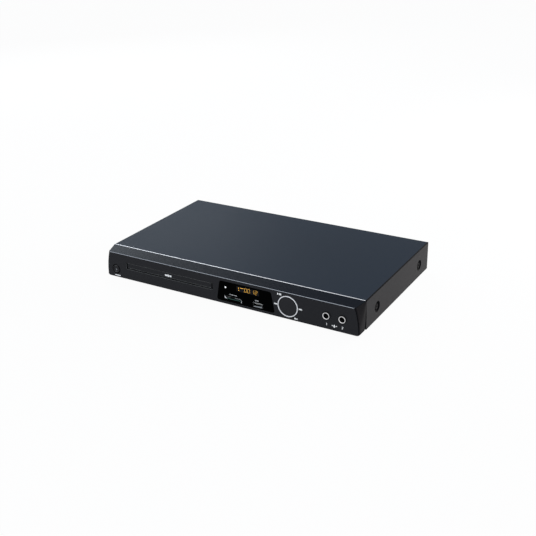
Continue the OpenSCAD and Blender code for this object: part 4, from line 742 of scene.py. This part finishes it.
def open_seam(bm):
    """Draws the side walls' back rim forward, most at the bottom, so that a dark line shows."""
    for vert in bm.verts:
        if vert.co.y > SEAM_Y - 3 * MM and abs(vert.co.x) > HALF_W - 4 * MM:
            vert.co.y -= SEAM_GAP * max(0.0, (SEAM_TOP_Z - vert.co.z) / (TOP_Z - BASE_Z))


def face_top_edges(mid, edge):
    """Edge between the face and the bevel, and the bevel's two sloping ends."""
    way = along(edge)
    ridge = abs(way.x) > STRAIGHT and mid.y < FACE_Y + RIDGE_DEPTH and mid.z > BEVEL_Z - 3 * MM
    gable = abs(way.y) > 0.2 and mid.y < SEAM_Y - 1.2 * MM and mid.z > BEVEL_Z \
        and abs(mid.x) > HALF_W - GABLE_W
    return ridge or gable


def face_foot_edges(mid, edge):
    """Edges of the foot along the face and round both corners."""
    level = abs(along(edge).z) < 0.1 and mid.z < BASE_Z + NEAR
    return level and (mid.y < FACE_Y + 1.5 * MM or abs(mid.x) > HALF_W - 5 * MM)


def slot_rim_highlight(centre, normal):
    """Lower lip and left end of the tray's slot, which get a painted highlight."""
    depth = centre.y - FACE_Y
    lip = normal.z > 0.2 and depth < FRONT_WALL and centre.x < door_high.x + 1 * MM \
        and door_low.z - 0.9 * MM < centre.z < door_low.z + 0.2 * MM
    end = normal.x > 0.7 and depth > SKIN and abs(centre.x - door_low.x) < 1 * MM \
        and door_low.z - 0.5 * MM < centre.z < door_high.z + 0.5 * MM
    return lip or end


def fascia_finish(centre, normal):
    """Finish of one face, from where it lies and which way it looks: painted shade in the moat, at the
    seams, along the rounded corners and on the bevel's ends, painted highlights on the slot's rim and
    the ridge, and shaded and lit copies of the plastic on the sides and the bevel.
    """
    depth, inward = centre.y - FACE_Y, HALF_W - abs(centre.x)
    from_power = math.hypot(centre.x - POWER.x, centre.z - POWER.z)
    # The moat and the fascia's back rims at the seams are painted as shade.
    moat_shade = from_power < MOAT_R and SKIN < depth < FRONT_WALL
    seam_shade = normal.y > 0.5 and centre.y > SEAM_Y - 5 * MM
    if moat_shade or seam_shade:
        return "dark_gap"
    if slot_rim_highlight(centre, normal):
        return "door_edge"
    if inward < GABLE_W and abs(normal.x) > 0.7:
        return "side_plastic"
    if centre.z < BEVEL_Z:
        corner_shade = inward < 12 * MM and 0.4 < abs(normal.x) < 0.7
        return "cover_fold" if corner_shade else "fascia_plastic"
    # The bevel's sloping ends are painted as shade.
    if abs(normal.x) > 0.12 and normal.z > 0.12:
        return "cover_fold"
    if normal.z < 0.25:
        return "fascia_plastic"
    return "fascia_edge" if depth < RIDGE_DEPTH and normal.z < 0.96 else "fascia_top"


def seam_lips(bm):
    """Dark strips inside the side seams, painted shade that keeps anything bright from showing through
    them.
    """
    inward, forward, lower = 0.9 * MM, 2.2 * MM, 3 * MM
    thick, deep, shorter = 0.4 * MM, 4.6 * MM, 8 * MM
    size = Matrix.Diagonal((thick, deep, TOP_Z - BASE_Z - shorter, 1.0))
    for side in (-1.0, 1.0):
        place = Vector((side * (HALF_W - inward), SEAM_Y - forward, (BASE_Z + TOP_Z) / 2 - lower))
        bmesh.ops.create_cube(bm, size=1.0, matrix=Matrix.Translation(place) @ size)


TRIM_LEFT, TRIM_RIGHT = -HALF_W + 0.4 * MM, HALF_W - 1.6 * MM


def shorten_trim(bm):
    for vert in bm.verts:
        vert.co.x = max(TRIM_LEFT, min(TRIM_RIGHT, vert.co.x))


def window_finish(centre, normal):
    """The window's lower edge gets a painted highlight, paler than its gloss front."""
    foot_highlight = normal.z < -0.3 and centre.z < window_low.z + 1 * MM
    return "door_edge" if foot_highlight else "window_gloss"


def make_fascia():
    finishes = ["fascia_plastic", "fascia_edge", "fascia_top", "dark_gap", "door_edge",
                "cover_fold", "side_plastic"]
    eases = [(0.35, 3, face_top_edges), (1.2, 3, face_foot_edges), (0.2, 2, before(FACE_Y + CLOSE))]
    dressed("fascia_moulding", "front_fascia", finishes, eases,
            shape=open_seam, paint=fascia_finish)
    built("seam_lips", seam_lips, ["dark_gap"])
    dressed("seam_trim", "fascia_trim", ["trim_chrome"], [(0.3, 3, anywhere)],
            shape=shorten_trim)
    dressed("smoked_window", "display_window", ["window_gloss", "door_edge"],
            [(0.2, 3, before(WINDOW_Y + CLOSE))], paint=window_finish)


# ---------- Tray and its door ----------

DOOR_END_GAP = 1.3 * MM


def narrow_door(bm):
    """Draws the door's ends in, so that a dark gap shows at both ends of its slot."""
    for vert in bm.verts:
        if vert.co.x < door_low.x + 1 * MM or vert.co.x > door_high.x - 1 * MM:
            vert.co.x += math.copysign(DOOR_END_GAP, middle("tray_door").x - vert.co.x)


def on_rounding(normal):
    """True between a front face and the sides that run back from it."""
    return -0.97 < normal.y < -0.1


def door_finish(centre, normal):
    """The door's long edges get a painted highlight."""
    long_edge_highlight = on_rounding(normal) and abs(normal.x) < 0.3 and centre.y < DOOR_Y + 1.6 * MM
    return "door_edge" if long_edge_highlight else "door_plastic"


def make_tray():
    dressed("tray_plate", "disc_tray", ["tray_plastic"],
            [(0.25, 2, over(tray_high.z - CLOSE))], body="tray")
    dressed("door_bar", "tray_door", ["door_plastic", "door_edge"],
            [(0.35, 2, before(DOOR_Y + CLOSE)), (0.2, 2, anywhere)], body="tray",
            shape=narrow_door, paint=door_finish)


# ---------- Power button and pad ----------

CAP_SLIMMING = 0.08  # share of the power cap's radius


def slim_cap(bm):
    """Draws the power cap's front in from its moat, which then shows as a wider ring of painted shade.
    """
    for vert in bm.verts:
        if vert.co.y < FACE_Y + 0.9 * MM:
            vert.co.x += (POWER.x - vert.co.x) * CAP_SLIMMING
            vert.co.z += (POWER.z - vert.co.z) * CAP_SLIMMING


def cap_finish(centre, normal):
    """The cap's edge above and to the left gets a painted highlight."""
    lit = on_rounding(normal) and normal.z > 0.25 and normal.x < 0.4 and centre.y < FACE_Y
    return "door_edge" if lit else "button_plastic"


def make_buttons():
    dressed("power_cap", "power_button", ["button_plastic", "door_edge"],
            [(0.35, 3, before(FACE_Y + 0.3 * MM))], body="power_button", shape=slim_cap,
            paint=cap_finish)
    dressed("pad_cap", "nav_pad", ["button_plastic"], [(0.4, 3, before(FACE_Y))],
            body="nav_pad")
    dressed("pad_ring", "nav_ring", ["ring_silver"],
            [(0.45, 3, before(FACE_Y - 0.5 * MM))])


# ---------- Microphone jacks ----------

NUT_SHOULDER_R, NUT_CREST_R, NUT_BORE_R = 4.4, 4.0, 3.3  # mm
NUT_SMOOTH_TURN = 40


def nut_profile():
    """A cone up to the shoulder, a bright rim over the crest, and the bore; the cone and the bore are
    painted dark as shade.
    """
    out = (FACE_Y - NUT_Y) / MM
    foot = NUT_R / MM
    return [(foot, 0.0), (foot - 0.05, 0.4), (NUT_SHOULDER_R, out - 0.7),
            (NUT_SHOULDER_R - 0.1, out - 0.3), (NUT_CREST_R + 0.15, out - 0.04),
            (NUT_CREST_R, out), (NUT_CREST_R - 0.4, out - 0.06), (NUT_BORE_R + 0.08, out - 0.3),
            (NUT_BORE_R, out - 0.6), (NUT_BORE_R, 0.0)]


def nut_finish(centre, _normal):
    """Chrome between the shoulder and the bore; elsewhere painted shade in dark steel."""
    away = from_nearest(NUT_XS, NUT_Z, centre) / MM
    return "nut_chrome" if NUT_BORE_R + 0.1 <= away <= NUT_SHOULDER_R - 0.1 else "dark_steel"


def sink_bushes(bm):
    """Sets the bushes' front rims back inside the nuts."""
    for vert in bm.verts:
        if vert.co.y < FACE_Y - 0.5 * MM:
            vert.co.y = FACE_Y - 0.2 * MM


def add_nuts(bm):
    for x in NUT_XS:
        turned_ring(bm, Vector((x, FACE_Y, NUT_Z)), nut_profile())


def make_microphone_jacks():
    built("chrome_nuts", add_nuts, ["nut_chrome", "dark_steel"],
          replaced=("mic_jack_nuts",), paint=nut_finish, turn=NUT_SMOOTH_TURN)
    # The jacks are black, and the same black on the bushes' fronts inside the nuts is painted shade.
    dressed("mic_sockets", "mic_jacks", ["part_black"], (), shape=sink_bushes)


# ---------- Marks on the face ----------

def standby_mark(bm, place):
    """Broken ring with an upright line in its gap, between two bars."""
    r, width = 0.8, 0.62
    add_stroke(bm, arc(0, 0, r, r, 130, 410, 20), width, place)
    add_stroke(bm, [(0, r * 0.1), (0, r * 1.3)], width, place)
    bars(bm, place, ((-4.5, -1.5), (1.5, 4.5)), 0.55)


def play_mark(bm, place):
    """Pointer and the two bars of a pause."""
    pointer(bm, place, -2.1, -0.3, 1.1)
    bars(bm, place, ((0.1, 0.95), (1.25, 2.1)), 1.0)


def skip_mark(bm, place, way):
    """Two pointers that run up to a bar, to the left with way -1 and to the right with 1."""
    pointer(bm, place, way * -2.2, way * -0.2, 1.2)
    pointer(bm, place, way * -0.4, way * 1.6, 1.2)
    bars(bm, place, [sorted((way * 1.5, way * 2.1))], 1.1)


def stop_and_open_mark(bm, place):
    """Square, and a triangle on a line."""
    bars(bm, place, ((-2.2, -0.3),), 1.0)
    add_plate(bm, [(0.1, -0.2), (2.3, -0.2), (1.2, 1.05)], place)
    add_plate(bm, box_points(0.1, -1.0, 2.3, -0.45), place)


def microphone_mark(bm, place):
    """Round-ended capsule in a cradle on a foot, between two bars."""
    r, width = 0.7, 0.42
    add_plate(bm, arc(0, 0.7, r, r, 0, 180, 10) + arc(0, -0.1, r, r, 180, 360, 10), place)
    add_stroke(bm, arc(0, 0.0, 1.4, 1.3, 190, 350, 12), width, place)
    add_stroke(bm, [(0, -1.2), (0, -1.75)], width, place)
    add_stroke(bm, [(-0.9, -1.8), (0.9, -1.8)], width, place)
    bars(bm, place, ((-3.2, -2.0), (2.0, 3.2)), 0.5)


def face_marks(bm):
    """The pad's marks stand round its ring, and the jacks' numbers under their nuts."""
    standby_mark(bm, beside("power_button", 1.6, -8.5, FACE_Y))
    play_mark(bm, beside("nav_ring", -11.2, 13.4, FACE_Y, size=1.25))
    skip_mark(bm, beside("nav_ring", -16.2, -0.1, FACE_Y, size=0.95), -1.0)
    skip_mark(bm, beside("nav_ring", 16.5, -0.1, FACE_Y, size=0.95), 1.0)
    stop_and_open_mark(bm, beside("nav_ring", 10.6, -13.4, FACE_Y, size=0.95))
    add_numeral(bm, 1, 2.7, 0.5, at(NUT_XS[0], NUT_Z - 10.9 * MM, FACE_Y))
    add_numeral(bm, 2, 2.5, 0.46, at(NUT_XS[1] - 0.1 * MM, NUT_Z - 11.0 * MM, FACE_Y))
    microphone_mark(bm, beside("mic_jack_nuts", -0.2, -10.9, FACE_Y))


def door_mark(bm):
    """Plain ring between two bars."""
    place = beside("tray_door", -0.4, -0.1, DOOR_Y)
    add_stroke(bm, circle(1.05), 1.1, place, closed=True)
    bars(bm, place, ((-5.0, -2.1), (2.1, 5.0)), 1.05)


def power_mark(bm):
    """Small ring on the power cap."""
    add_stroke(bm, circle(0.75), 0.5, beside("power_button", 0.0, -0.8, FACE_Y), closed=True)


# ---------- Display ----------

FIELD_PROUD, DIGIT_PROUD = 0.015, 0.05
DIGIT_W, DIGIT_H, SEGMENT_W = 2.9, 4.8, 0.25
SLANT = 0.09
SEGMENTS = {"0": "abcdef", "1": "bc", "2": "abged"}
DIGITS = (("0", -2.8), ("0", 1.5), ("1", 6.9), ("2", 11.6))  # each with its place in mm
SIGNS = ((-12.5, 1.2, 0.30, 0.7), (-12.5, -1.6, 0.30, 0.7),  # right, up, half width and height
         (-8.9, 1.7, 0.95, 0.30), (-6.7, 1.7, 0.95, 0.30))


def add_segments(bm, lit, place):
    """Seven-segment numeral, slanted a little."""
    w, h, gap = DIGIT_W / 2, DIGIT_H / 2, SEGMENT_W * 0.18
    ends = {"a": ((-w, h), (w, h)), "g": ((-w, 0), (w, 0)), "d": ((-w, -h), (w, -h)),
            "f": ((-w, 0), (-w, h)), "b": ((w, 0), (w, h)), "e": ((-w, -h), (-w, 0)),
            "c": ((w, -h), (w, 0))}
    for key in lit:
        start, stop = (Vector(end) for end in ends[key])
        way = (stop - start).normalized()
        half = way * SEGMENT_W / 2
        side = Vector((-half.y, half.x))
        start, stop = start + way * gap, stop - way * gap
        outline = [start, start + half - side, stop - half - side, stop, stop - half + side,
                   start + half + side]
        add_plate(bm, [(spot.x + spot.y * SLANT, spot.y) for spot in outline], place, DIGIT_PROUD)


def display_field(bm):
    add_plate(bm, box_points(-15.6, -3.4, 15.6, 3.4), beside("display_module", 0, 0, WINDOW_Y),
              FIELD_PROUD)


def display_digits(bm):
    for text, right in DIGITS:
        add_segments(bm, SEGMENTS[text], beside("display_module", right, 0.2, WINDOW_Y))
    for right, up, half_w, half_h in SIGNS:
        add_plate(bm, box_points(-half_w, -half_h, half_w, half_h),
                  beside("display_module", right, up, WINDOW_Y), DIGIT_PROUD)


# Glowing white dot over the receiver's eye, a painted glint.
def ready_lamp(bm):
    add_plate(bm, circle(1.15), beside("ir_receiver", -0.4, -0.2, WINDOW_Y))


# ---------- Marks round the card slot and the plug mouth ----------

def card_slot_marks(bm):
    """Painted highlights on the slot's ends and upper rim, and above the slot a small printed card with
    bars.
    """
    slot = beside("sd_socket", 0, 0, WINDOW_Y)
    add_stroke(bm, [(-7.5, 1.5), (-3.5, 2.7)], 0.16, slot)
    add_stroke(bm, [(3.0, 2.3), (10.4, 2.3), (11.8, 1.6), (12.3, 0.4)], 0.2, slot)
    add_stroke(bm, [(12.2, 0.6), (12.2, -1.7), (11.2, -1.9)], 0.62, slot)
    add_plate(bm, [(-11.3, -0.4), (-7.9, -0.6), (-9.4, 0.6), (-11.2, 2.4), (-11.9, 2.4)], slot)
    label = beside("sd_socket", 1.1, 5.875, WINDOW_Y)
    card = [(-5.4, -0.45), (-4.1, -0.45), (-4.1, 0.25), (-4.4, 0.55), (-5.4, 0.55)]
    add_stroke(bm, card, 0.26, label, closed=True)
    bars(bm, label, ((-3.2, 0.4), (1.0, 5.0)), 0.32)


def plug_mouth_marks(bm):
    """A line over the mouth, a painted highlight on its lower lip, and above it a small plug with a bar.
    """
    mouth = beside("usb_socket", 0, 0, WINDOW_Y)
    add_stroke(bm, [(-6.3, 2.6), (-6.3, 3.5), (5.2, 3.5), (6.4, 2.7)], 0.14, mouth)
    lip = [(-6.1, -2.3), (5.5, -2.3), (5.7, 0.0), (5.1, 0.0), (4.2, -0.6), (-4.2, -1.1)]
    add_plate(bm, lip, mouth, material=1)
    label = beside("usb_socket", -0.8, 6.1, WINDOW_Y)
    add_stroke(bm, box_points(-2.3, -0.5, -0.8, 0.5), 0.34, label, closed=True)
    bars(bm, label, ((-0.2, 2.1),), 0.42)


def window_marks(bm):
    card_slot_marks(bm)
    plug_mouth_marks(bm)


def card_slot_lip(bm):
    """Teal line just inside the slot."""
    place = beside("sd_socket", 0, 0, WINDOW_Y + 0.5 * MM)
    add_stroke(bm, [(-8.4, -0.2), (11.0, -0.2)], 0.5, place, front=0.3, back=-0.3)


def make_marks():
    built("face_marks", face_marks, ["print_white_painted_glow"])
    built("door_mark", door_mark, ["print_white_painted_glow"], body="tray")
    built("power_mark", power_mark, ["print_grey_and_highlight"], body="power_button")
    built("display_field", display_field, ["display_glass"])
    built("display_digits", display_digits, ["amber_light"])
    built("ready_lamp", ready_lamp, ["painted_glint_white"])
    built("window_marks", window_marks, ["print_soft_glow_and_highlight", "print_grey_and_highlight"])
    built("card_slot_lip", card_slot_lip, ["slot_teal"])


# ---------- Back ----------

COLLARS = ("yellow", "white", "red", "green", "blue", "red")
COLLAR_R, COLLAR_BORE_R, COLLAR_OUT = 5.4, 4.17, 1.4  # mm
SHELL_BORE_R = 3.0 * MM
VENT_W, VENT_H, VENT_LIP_W = 3.4, 6.4, 0.4  # mm, of the lip's middle line
VENT_X, VENT_Z = middle("disc_tray").x - 67.5 * MM, BASE_Z + 15 * MM  # the first slot
VENT_STEP, VENT_RISE = 8 * MM, 9 * MM
VENT_COLUMNS, VENT_ROWS = 16, 2
HALF_TURN = math.pi


def jack_collars(bm):
    profile = [(COLLAR_R, 0.0), (COLLAR_R, COLLAR_OUT - 0.5), (COLLAR_R - 0.3, COLLAR_OUT - 0.1),
               (COLLAR_R - 0.6, COLLAR_OUT), (COLLAR_BORE_R, COLLAR_OUT), (COLLAR_BORE_R, 0.0)]
    for i, x in enumerate(PHONO_XS):
        turned_ring(bm, Vector((x, PANEL_Y, PHONO_Z)), profile, looks=BACK, material=i)


def shell_finish(centre, _normal):
    """Black inside the jacks' bores."""
    in_bore = from_nearest(PHONO_XS, PHONO_Z, centre) < SHELL_BORE_R and centre.y > PANEL_Y
    return "part_black" if in_bore else "nut_chrome"


def back_marks(bm):
    """Numbers under the jacks, a frame round them, and a wave under the inlet."""
    for i, x in enumerate(PHONO_XS):
        add_numeral(bm, i + 1, 2.6, 0.36, at(x, PHONO_Z - 9.5 * MM, PANEL_Y, BACK))
    add_stroke(bm, box_points(-43.5, -12.1, 43.5, 7.7), 0.3,
               beside("av_jack_shells", 0, 0, PANEL_Y, BACK), closed=True)
    wave = arc(-1.6, 0, 1.6, 1.0, 180, 0, 10) + arc(1.6, 0, 1.6, 1.0, 180, 360, 10)[1:]
    add_stroke(bm, wave, 0.3, beside("power_inlet", -0.4, -11.6, PANEL_Y, BACK))


def make_vent_lips():
    """Pressed lips round the cooling slots."""
    lip = bmesh.new()
    add_stroke(lip, box_points(-VENT_W / 2, -VENT_H / 2, VENT_W / 2, VENT_H / 2), VENT_LIP_W,
               at(0.0, 0.0, 0.0, BACK), closed=True, front=0.2, back=-0.05)
    places = [(VENT_X + column * VENT_STEP, PANEL_Y, VENT_Z + step * VENT_RISE)
              for step in range(VENT_ROWS) for column in range(VENT_COLUMNS)]
    to_piece("vent_lips", repeated("vent_lips", closed_mesh("vent_lip", lip), places, "zinc_steel"),
             ())


def make_back():
    built("jack_collars", jack_collars, ["collar_" + colour for colour in COLLARS],
          replaced=("av_jack_collars",))
    dressed("jack_shells", "av_jack_shells", ["nut_chrome", "part_black"],
            [(0.15, 2, beyond(SHELL_Y - NEAR))], paint=shell_finish)
    built("back_marks", back_marks, ["print_dark"])
    make_vent_lips()
    screws("back_screws", "rear_screws", lambda _place: True, (0.0, HALF_TURN, 0.0))
    screws("left_screws", "cover_screws", lambda place: place.x < 0, (HALF_TURN, 0.0, 0.0))
    screws("right_screws", "cover_screws", lambda place: place.x > 0, (HALF_TURN, 0.0, 0.0))


# ---------- CAD nodes that keep their shape ----------

NODE_FINISH = {
    "zinc_steel": ("clamp_bridge", "tray_motor", "spindle_motor", "sled_motor", "deck_plate",
                   "foot_screws", "inner_screws", "hdmi_socket"),
    "board_green": ("power_key_board", "front_board", "media_board", "mic_board", "main_board"),
    "board_brown": ("power_board",),
    "part_black": ("key_switches", "ir_receiver", "sd_socket", "main_board_chips",
                   "av_jack_block", "power_inlet", "turntable", "pickup_body"),
    "white_plastic": ("nav_gimbal", "usb_tongue", "loader_frame", "pulley_gear", "drive_gear",
                      "cam_slider", "disc_clamp"),
    "trim_chrome": ("guide_rods", "sled_screw"),
    "dark_steel": ("usb_socket",),
    "display_glass": ("display_module",),
    "brass": ("inlet_pins", "motor_pulley"),
    "transformer_tape": ("transformer",),
    "capacitor_sleeve": ("capacitors",),
    "aluminium": ("heatsink",),
    "ribbon": ("ribbon_cables",),
    "rubber_belt": ("drive_belt",),
    "magnet": ("clamp_magnet",),
    "lens_glass": ("pickup_lens",),
}


def finish_nodes():
    for label, names in NODE_FINISH.items():
        for name in names:
            mesh = frame["nodes"][name].data
            mesh.materials.clear()
            mesh.materials.append(FINISHES[label])


# ---------- Studio ----------

FLOOR_COLOUR, FLOOR_GLOW = (0.92, 0.92, 0.92), 0.96
FLOOR_HALF = 6.0
ROOM_COLOUR, WHITE = (0.38, 0.43, 0.50, 1.0), (1.0, 1.0, 1.0, 1.0)


def seen_or_mirrored(tree):
    """1 where a ray comes from the camera or through gloss or glass, and 0 elsewhere."""
    rays = add_node(tree, "ShaderNodeLightPath")
    mirrored = maths(tree, "MAXIMUM", rays["Is Glossy Ray"], rays["Is Transmission Ray"])
    return maths(tree, "MAXIMUM", rays["Is Camera Ray"], mirrored)


def make_floor_finish():
    """Pale floor: seen or mirrored it is nearly white, and it still takes a shadow."""
    material = bpy.data.materials.new("pale_floor")
    material.use_nodes = True
    tree = material.node_tree
    tree.nodes.clear()
    place = add_node(tree, "ShaderNodeTexCoord")["Object"]
    tone = shared(tree, MOTTLE, place, Scale=3.0, Amount=0.01)["Tone"]
    matt = add_node(tree, "ShaderNodeBsdfDiffuse", Color=tinted(tree, tone, FLOOR_COLOUR))[0]
    glow = add_node(tree, "ShaderNodeEmission", Color=WHITE, Strength=1.0)[0]
    share = maths(tree, "MULTIPLY", seen_or_mirrored(tree), FLOOR_GLOW)
    both = add_node(tree, "ShaderNodeMixShader", in_order=(share, matt, glow))[0]
    add_node(tree, "ShaderNodeOutputMaterial", Surface=both)
    return material


def make_floor():
    bm = bmesh.new()
    bmesh.ops.create_grid(bm, x_segments=1, y_segments=1, size=FLOOR_HALF)
    mesh = bpy.data.meshes.new("floor")
    bm.to_mesh(mesh)
    bm.free()
    mesh.materials.append(make_floor_finish())
    in_scene("floor", mesh)


def make_room():
    """Soft light from all round, in front of a white background."""
    world = bpy.data.worlds.new("studio")
    bpy.context.scene.world = world
    world.use_nodes = True
    tree = world.node_tree
    around = tree.nodes["Background"].inputs
    put(tree, blended(tree, seen_or_mirrored(tree), ROOM_COLOUR, WHITE), around["Color"])
    put(tree, 1.0, around["Strength"])


def area_light(name, place, target, width, height, power, colour):
    data = bpy.data.lights.new(name, "AREA")
    data.shape = "RECTANGLE"
    data.size, data.size_y = width, height
    data.energy = power
    data.color = colour
    light = in_scene(name, data)
    light.location = place
    way = Vector(target) - Vector(place)
    light.rotation_euler = way.to_track_quat("-Z", "Y").to_euler()


def make_lamps():
    area_light("key_left", (-1.30, 1.12, 0.82), (-0.05, 0, 0), 1.0, 0.6, 11.5, (0.86, 0.93, 1.0))
    area_light("side_right", (0.66, 0.92, 0.32), (0.16, 0.08, 0.02), 0.6, 0.4, 12.2, (1.0, 0.95, 0.91))
    area_light("glint_left", (-0.612, 0.245, 0.463), (-0.175, -0.10, 0.04), 0.10, 0.10, 0.16,
               (0.70, 0.86, 1.0))
    area_light("fill_front", (0.1, -1.4, 0.9), (0, -0.1, 0.02), 1.2, 0.6, 4.0, (1.0, 0.99, 0.98))


# ---------- Camera ----------

CAMERA_PLACE = (0.51950, -0.85992, 0.46096)
CAMERA_TURN = (65.69862, 1.44246, 30.52179)  # degrees about X, Y and Z
LENS, SENSOR_W = 56.60, 36.0  # mm


def make_camera():
    data = bpy.data.cameras.new("camera")
    data.sensor_width = SENSOR_W
    data.lens = LENS
    data.clip_start, data.clip_end = 0.05, 50.0
    camera = in_scene("camera", data)
    camera.location = CAMERA_PLACE
    camera.rotation_euler = [math.radians(angle) for angle in CAMERA_TURN]
    bpy.context.scene.camera = camera


make_camera()
make_floor()
make_room()
make_lamps()
finish_nodes()
make_case()
make_fascia()
make_tray()
make_buttons()
make_microphone_jacks()
make_marks()
make_back()
bpy.context.scene.view_settings.view_transform = "Standard"

bpy.context.view_layer.update()
